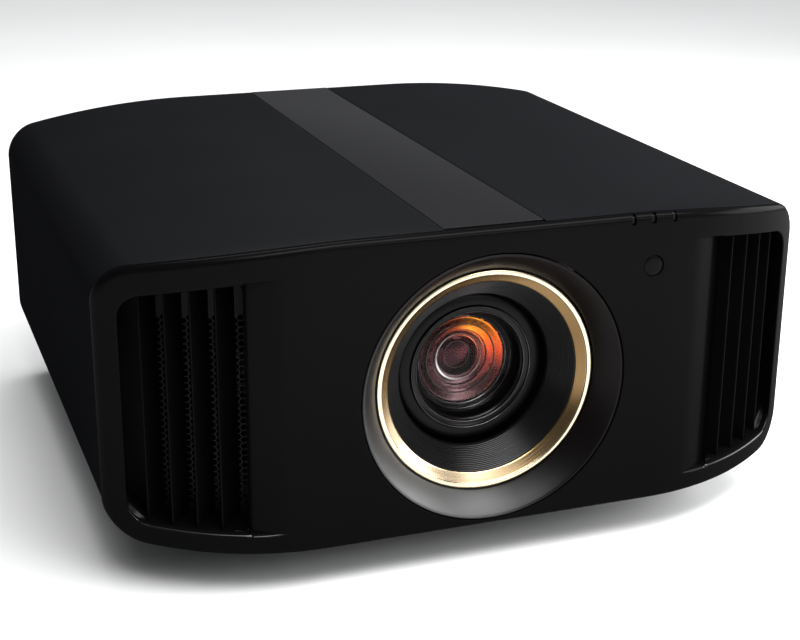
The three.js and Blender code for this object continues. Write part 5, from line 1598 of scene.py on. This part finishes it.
# ------------------------------------------------------------------ intake filter
def build_filter():
    p = round_corners(rect(FX0 + 0.3, FX1 - 0.3, FZ0 + 0.3, FZ1 - 0.3), 0.6, 3)
    V, F = soft_prism(p, 462.0, 480.0, "y", 0.5, 3)
    ob = mesh_object("filter_grille", V, F, MAT["inner"], None, sharp=32)
    tools = []
    for j in range(6):
        z0 = FZ0 + 6 + j * 13.2
        q = round_corners(rect(FX0 + 5, FX1 - 5, z0, z0 + 9.6), 2.0, 5)
        tools.append(prism(q, 450, 490, "y"))
    boolean(ob, tools, sharp=32)
    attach(ob, "air_filter")
    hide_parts("filter_frame")
    parts = []
    for j in range(6):
        z0 = FZ0 + 6 + j * 13.2
        for i in range(11):
            x = FX0 + 5 + 94.0 * (i + 1) / 12
            parts.append(soft_prism(rect(x - 0.55, x + 0.55, z0 - 0.3, z0 + 9.9), 474.0, 479.4, "y", 0.3, 2))
    mesh_object("filter_bars", *join_data(*parts), MAT["inner"], "air_filter", (), "inner_black", sharp=34)
    # pleated media, one sheet of fine folds
    V, n = [], 144
    top, thick = 470.6, 0.5
    xs = np.linspace(FX0 + 4.0, FX1 - 4.0, n + 1)
    off = [(2.6 if i % 2 else 0.0) for i in range(n + 1)]
    zz = np.linspace(FZ0 + 4.5, FZ1 - 4.5, 5)
    for dy in (0.0, -thick):
        for z in zz:
            V += [(x, 466.4 + o + dy, z) for x, o in zip(xs, off)]
    m, c = len(zz), n + 1
    F = grid_faces(m, c) + grid_faces(m, c, m * c)
    b = m * c
    F += [(i, i + 1, b + i + 1, b + i) for i in range(n)]
    q = (m - 1) * c
    F += [(q + i, q + i + 1, b + q + i + 1, b + q + i) for i in range(n)]
    for e in (0, n):
        F += [(e + j * c, e + (j + 1) * c, b + e + (j + 1) * c, b + e + j * c) for j in range(m - 1)]
    mesh_object("filter_media", V, F, MAT["media"], "air_filter", (), "fan_grey", sharp=20)
    tab = round_corners([(478.6, 83.2), (482.0, 83.2), (482.6, 83.6), (482.6, 86.9), (482.0, 87.3), (478.6, 87.3)], 0.25, 3)
    V, F = soft_prism(tab, -158.0, -146.0, "x", 0.6, 3)
    mesh_object("filter_tab", V, F, MAT["inner"], "air_filter", (), "inner_black", sharp=34)


build_filter()


# ------------------------------------------------------------------ lamp door
def lathe_x(profile, seg, cy, cz):
    V, F = lathe_data(profile, seg, axis="z", closed=False)
    return [(c, cy + a, cz + b) for a, b, c in V], F


def build_lamp_door():
    p = round_corners(rect(305.4, 424.6, 52.4, 149.6), 4.6, 7)
    V, F = soft_prism(p, 246.9, 249.7, "x", 0.55, 4, (False, True))
    ob = mesh_object("lamp_door_panel", V, F, MAT["cover"], None, sharp=32)
    tools = [lathe_x([(0, 240), (3.4, 240), (3.4, 248.4), (5.6, 248.4), (5.6, 249.3), (6.1, 249.8), (6.1, 260), (0, 260)], 48, 311, 101)]
    tools.append(prism(round_corners(rect(402, 418, 80, 122), 4.0, 6), 248.3, 255, "x"))
    boolean(ob, tools, sharp=32)
    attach(ob, "lamp_door")
    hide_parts("lamp_cover")
    parts = []
    for k in range(7):
        z = 86.0 + k * 5.0
        parts.append(soft_prism(round_corners(rect(404.5, 415.5, z - 0.7, z + 0.7), 0.6, 4), 247.9, 249.2, "x", 0.35, 3))
    mesh_object("lamp_door_grip", *join_data(*parts), MAT["cover"], "lamp_door", (), "casing_black", sharp=36)
    V, F = soft_prism(round_corners(rect(334, 404, 70, 106), 3.0, 5), 244.6, 247.2, "x", 0.6, 3)
    mesh_object("lamp_door_rib", V, F, MAT["inner"], "lamp_door", (), "inner_black", sharp=34)
    prof = [(0, 233), (2.2, 233), (2.6, 233.6)]
    for k in range(14):
        prof += [(3.0, 234.2 + k * 0.8), (2.6, 234.6 + k * 0.8)]
    prof += [(2.9, 245.6), (3.0, 246.0), (3.0, 248.7), (4.9, 248.7), (5.15, 248.85), (5.2, 249.1), (5.15, 249.45), (4.9, 249.75), (4.3, 249.93), (3.4, 250.0), (0, 250.0)]
    V, F = lathe_x(prof, 64, 311, 101)
    ob = mesh_object("lamp_door_screw_head", V, F, MAT["screw"], None, sharp=36)
    boolean(ob, [prism(rect(305, 317, 100.4, 101.6), 249.2, 252, "x")], sharp=36)
    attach(ob, "lamp_door_screw")
    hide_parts("lamp_cover_screw")


build_lamp_door()


def build_lamp_unit():
    outline = [(319, 60), (416, 60), (420, 64), (420, 138), (416, 142), (319, 142)]
    p = round_corners(outline, [2.4, 2.0, 2.0, 2.0, 2.0, 2.4], 4)
    V, F = soft_prism(p, 150.0, 244.2, "x", 1.0, 3)
    ob = mesh_object("lamp_unit_housing", V, F, MAT["lamp"], None, sharp=34)
    tools = [lathe_x([(0, 148), (30, 148), (30, 205), (0, 205)], 72, 368, 101)]
    tools.append(prism(round_corners(rect(334, 404, 112, 130), 4.0, 5), 236, 250, "x"))
    tools.append(prism(round_corners(rect(328, 410, 67, 105), 3.0, 5), 243.4, 250, "x"))
    tools.append(prism(round_corners(rect(400, 425, 66, 98), 2.0, 4), 145, 159, "x"))
    for k in range(9):
        y = 336.0 + k * 8.0
        tools.append(prism(round_corners(rect(214, 234, y - 1.7, y + 1.7), 1.6, 4), 138.6, 146, "z"))
        tools.append(prism(round_corners(rect(160, 206, y - 1.7, y + 1.7), 1.6, 4), 139.2, 146, "z"))
    for k in range(7):
        z = 74.0 + k * 9.0
        tools.append(prism(round_corners(rect(214, 236, z - 1.8, z + 1.8), 1.7, 4), 312, 322.4, "y"))
        tools.append(prism(round_corners(rect(214, 236, z - 1.8, z + 1.8), 1.7, 4), 416.6, 426, "y"))
    for y, z in ((325.0, 68.0), (412.5, 135.0)):
        tools.append(lathe_x([(0, 242.2), (4.2, 242.2), (4.2, 248), (0, 248)], 40, y, z))
    boolean(ob, tools, sharp=34)
    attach(ob, "lamp_unit")
    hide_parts("lamp_module")
    ribs = []
    for k in range(6):
        z = 72.5 + k * 5.4
        ribs.append(soft_prism(round_corners(rect(333, 405, z - 0.9, z + 0.9), 0.8, 4), 243.0, 244.1, "x", 0.4, 3))
    mesh_object("lamp_unit_ribs", *join_data(*ribs), MAT["lamp"], "lamp_unit", (), "lamp_plastic", sharp=36)
    V, F = soft_prism(round_corners(rect(333, 405, 118.5, 123.5), 2.3, 5), 237.5, 243.0, "x", 1.7, 5)
    mesh_object("lamp_unit_handle", V, F, MAT["inner"], "lamp_unit", (), "inner_black", sharp=36)
    inner, outer = [], []
    for k in range(17):
        t = k / 16
        r = 27.6 - 19.0 * t
        h = 153.2 + 44.0 * (1 - (r / 27.6) ** 2)
        inner.append((r, h))
        outer.append((r + 1.3, min(h + 1.2, 203.0)))
    prof = inner + [(8.6, 203.0)] + outer[::-1]
    V, F = lathe_data(prof, 96, axis="z", closed=True)
    V = [(c, 368 + a, 101 + b) for a, b, c in V]
    mesh_object("lamp_unit_reflector", V, F, MAT["screw"], "lamp_unit", (), "sheet_steel", sharp=40)
    V, F = lathe_data([(26.4, 150.4), (29.6, 150.4), (29.8, 150.8), (29.8, 153.0), (29.6, 153.2), (28.6, 153.2), (26.6, 152.4), (26.2, 151.6)], 96, axis="z", closed=True)
    V = [(c, 368 + a, 101 + b) for a, b, c in V]
    mesh_object("lamp_unit_front_ring", V, F, MAT["inner"], "lamp_unit", (), "inner_black", sharp=36)
    prof = [(0, 158), (1.4, 158.4), (1.6, 160), (1.6, 172), (2.6, 175), (4.4, 178), (5.0, 181), (4.4, 184), (2.6, 187), (1.8, 190), (1.8, 196), (4.6, 196.4), (4.6, 202.6), (0, 202.6)]
    V, F = lathe_x(prof, 48, 368, 101)
    mesh_object("lamp_unit_burner", V, F, MAT["socket"], "lamp_unit", (), "sheet_steel", sharp=40)
    V, F = soft_prism(round_corners(rect(402.5, 417.0, 69, 95), 1.5, 4), 151.0, 159.4, "x", 0.6, 3)
    ob = mesh_object("lamp_unit_plug", V, F, MAT["inner"], None, sharp=36)
    boolean(ob, [prism(round_corners(rect(405, 414.5, z, z + 6.6), 1.0, 4), 149, 157, "x") for z in (71.5, 78.9, 86.2)], sharp=36)
    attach(ob, "lamp_unit")
    pins = [lathe_x([(0, 152.6), (1.1, 153.2), (1.3, 154.0), (1.3, 157.4), (0, 157.4)], 24, 409.8, z) for z in (74.8, 82.2, 89.5)]
    mesh_object("lamp_unit_pins", *join_data(*pins), MAT["screw"], "lamp_unit", (), "sheet_steel", sharp=40)
    for i, (y, z) in enumerate(((325.0, 68.0), (412.5, 135.0)), 1):
        prof = [(0, 242.2), (2.0, 242.2), (3.3, 242.3), (3.5, 242.6), (3.4, 243.4), (2.9, 243.8), (2.0, 244.0), (0, 244.1)]
        V, F = lathe_x(prof, 48, y, z)
        ob = mesh_object("lamp_unit_screw_%d" % i, V, F, MAT["screw"], None, sharp=38)
        boolean(ob, [prism(rect(y - 2.4, y + 2.4, z - 0.45, z + 0.45), 243.2, 246, "x"), prism(rect(y - 0.45, y + 0.45, z - 2.4, z + 2.4), 243.2, 246, "x")], sharp=38)
        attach(ob, "lamp_unit")


build_lamp_unit()


# ------------------------------------------------------------------ impellers
def build_impeller(name, node, body, cx, cz, y0, r=36.3, t=25.0):
    rh = r * 0.42
    prof = [(0, y0 + 1.5), (rh - 2.5, y0 + 1.5), (rh - 1.1, y0 + 1.7), (rh - 0.3, y0 + 2.5), (rh, y0 + 3.6), (rh, y0 + t - 4.6), (rh - 0.5, y0 + t - 4.1), (rh - 1.2, y0 + t - 4.0), (0, y0 + t - 4.0)]
    parts = [lathe_data(prof, 72, cx, cz, "y", False)]
    nr, nc, th = 9, 9, 0.75
    for b in range(7):
        V = []
        for side in (1, -1):
            for i in range(nr):
                u = i / (nr - 1)
                rr = rh * 0.96 + (r * 0.975 - rh * 0.96) * u
                chord, pitch = 0.78 - 0.26 * u, math.radians(48 - 17 * u)
                for j in range(nc):
                    v = j / (nc - 1) - 0.5
                    h = v * (t - 9) * math.cos(0.25 * u)
                    ang = b * 2 * math.pi / 7 + v * chord * 1.15 + 0.20 * u + 0.10 * (0.25 - v * v)
                    ta = side * th / 2 * (1 - (2 * v) ** 4 * 0.6) / rr
                    V.append((cx + rr * math.cos(ang + ta), y0 + t / 2 - 1 + h, cz + rr * math.sin(ang + ta)))
        m = nr * nc
        F = grid_faces(nr, nc) + grid_faces(nr, nc, m)
        edge = [i for i in range(nc)] + [nc - 1 + i * nc for i in range(1, nr)] + [(nr - 1) * nc + i for i in range(nc - 2, -1, -1)] + [i * nc for i in range(nr - 2, 0, -1)]
        F += [(edge[i], edge[(i + 1) % len(edge)], m + edge[(i + 1) % len(edge)], m + edge[i]) for i in range(len(edge))]
        parts.append((V, F))
    mesh_object(name, *join_data(*parts), MAT["fan"], body, node, "fan_grey", sharp=40)


build_impeller("left_impeller", "left_fan_impeller", "left_fan_rotor", -198.0, 92.0, 92.0)
build_impeller("right_impeller", "right_fan_impeller", "right_fan_rotor", 198.0, 92.0, 92.0)
build_impeller("intake_impeller", "intake_fan_impeller", "intake_fan_rotor", -152.0, 126.0, 424.0)


# ------------------------------------------------------------------ materials of the CAD nodes that stay
def glass_inner():
    m = Mat("glass_inner", (0.10, 0.012, 0.014), 0.06, 0.0, 0.5)
    n = m.noise(m.coord(), 120.0, 2.0, 0.5)
    m.link(m.map(n, 0.3, 0.7, 0.04, 0.08), m.p.inputs["Roughness"])
    m.link(m.ramp(n, [(0.3, (0.09, 0.010, 0.012)), (0.7, (0.11, 0.014, 0.018))]), m.p.inputs["Base Color"])
    return m.m


MAT["glass"] = glass_inner()
PART_SLOT = {}
for sub in frame["record"].get("subparts", []):
    PART_SLOT[sub["node"]] = sub["material_slot"]
for name, ob in NODES.items():
    slot = PART_SLOT.get(name)
    m = MAT.get(SLOT_MAT.get(slot, "inner"), MAT["inner"])
    if name in ("focus_ring", "zoom_ring", "focus_gear_ring", "zoom_gear_ring"):
        m = MAT["nose"]
    if len(ob.material_slots) == 0:
        ob.data.materials.append(m)
    for s in ob.material_slots:
        s.material = m

# ------------------------------------------------------------------ floor, light, camera
def floor():
    me = bpy.data.meshes.new("floor")
    S = 30.0
    n = 24
    V = [(-S + 2 * S * i / n, -S + 2 * S * j / n, 0.0) for j in range(n + 1) for i in range(n + 1)]
    me.from_pydata(V, [], grid_faces(n + 1, n + 1))
    ob = bpy.data.objects.new("floor", me)
    bpy.context.scene.collection.objects.link(ob)
    m = Mat("floor_pale", (0.84, 0.84, 0.84), 0.9, 0.0, 0.0)
    nz = m.noise(m.coord(), 3.0, 2.0, 0.5)
    m.link(m.ramp(nz, [(0.3, (0.83, 0.83, 0.83)), (0.7, (0.85, 0.85, 0.85))]), m.p.inputs["Base Color"])
    me.materials.append(m.m)
    return ob


floor()


def area(name, loc, target, size, power, color=(1, 1, 1), spread=180.0):
    l = bpy.data.lights.new(name, "AREA")
    l.shape = "RECTANGLE"
    l.size, l.size_y = size
    l.energy = power
    l.color = color
    l.spread = math.radians(spread)
    o = bpy.data.objects.new(name, l)
    bpy.context.scene.collection.objects.link(o)
    o.location = loc
    d = Vector(target) - Vector(loc)
    o.rotation_euler = d.to_track_quat("-Z", "Y").to_euler()
    return o


def sun(name, toward, strength, angle, color=(1, 1, 1)):
    l = bpy.data.lights.new(name, "SUN")
    l.energy = strength
    l.angle = math.radians(angle)
    l.color = color
    o = bpy.data.objects.new(name, l)
    bpy.context.scene.collection.objects.link(o)
    o.rotation_euler = Vector(toward).to_track_quat("Z", "Y").to_euler()
    return o


C = (0.0, -0.22, 0.12)
sun("overhead", (0.15, -0.30, 0.92), 1.35, 70.0)
area("softbox_top", (0.28, -0.86, 1.60), C, (1.8, 0.6), 36.0)
area("softbox_right", (1.45, -0.16, 0.56), C, (1.5, 0.8), 34.0)
area("softbox_front", (0.75, -1.75, 0.95), C, (0.6, 0.6), 6.0)
area("softbox_rear", (0.10, 1.10, 1.70), (0.0, 0.24, 0.10), (1.0, 0.4), 15.0)

world = bpy.data.worlds.new("studio")
bpy.context.scene.world = world
world.use_nodes = True
wn = world.node_tree
bg = wn.nodes["Background"]
tc = wn.nodes.new("ShaderNodeTexCoord")
sp = wn.nodes.new("ShaderNodeSeparateXYZ")
wn.links.new(tc.outputs["Generated"], sp.inputs[0])
mr = wn.nodes.new("ShaderNodeMapRange")
for i, v in enumerate((-0.15, 0.55, 0.12, 0.56)):
    mr.inputs[i + 1].default_value = v
wn.links.new(sp.outputs[0], mr.inputs[0])
wn.links.new(mr.outputs[0], bg.inputs["Strength"])
bg.inputs["Color"].default_value = (0.96, 0.98, 1.0, 1)

yaw, pitch, roll = math.radians(19.97), math.radians(19.14), math.radians(0.33)
fwd = Vector((math.sin(yaw) * math.cos(pitch), math.cos(yaw) * math.cos(pitch), -math.sin(pitch)))
right0 = Vector((math.cos(yaw), -math.sin(yaw), 0))
up0 = right0.cross(fwd)
r_ = right0 * math.cos(roll) + up0 * math.sin(roll)
u_ = -right0 * math.sin(roll) + up0 * math.cos(roll)
cam = bpy.data.cameras.new("camera")
cam.lens, cam.sensor_width = 71.28, 36.0
cam.clip_start, cam.clip_end = 0.05, 50.0
co = bpy.data.objects.new("camera", cam)
bpy.context.scene.collection.objects.link(co)
M = Matrix.Identity(4)
for i in range(3):
    M[i][0], M[i][1], M[i][2] = r_[i], u_[i], -fwd[i]
co.matrix_world = Matrix.Translation((-0.3862, -1.1204, 0.5044)) @ M
bpy.context.scene.camera = co

sc = bpy.context.scene
sc.view_settings.view_transform = "Standard"
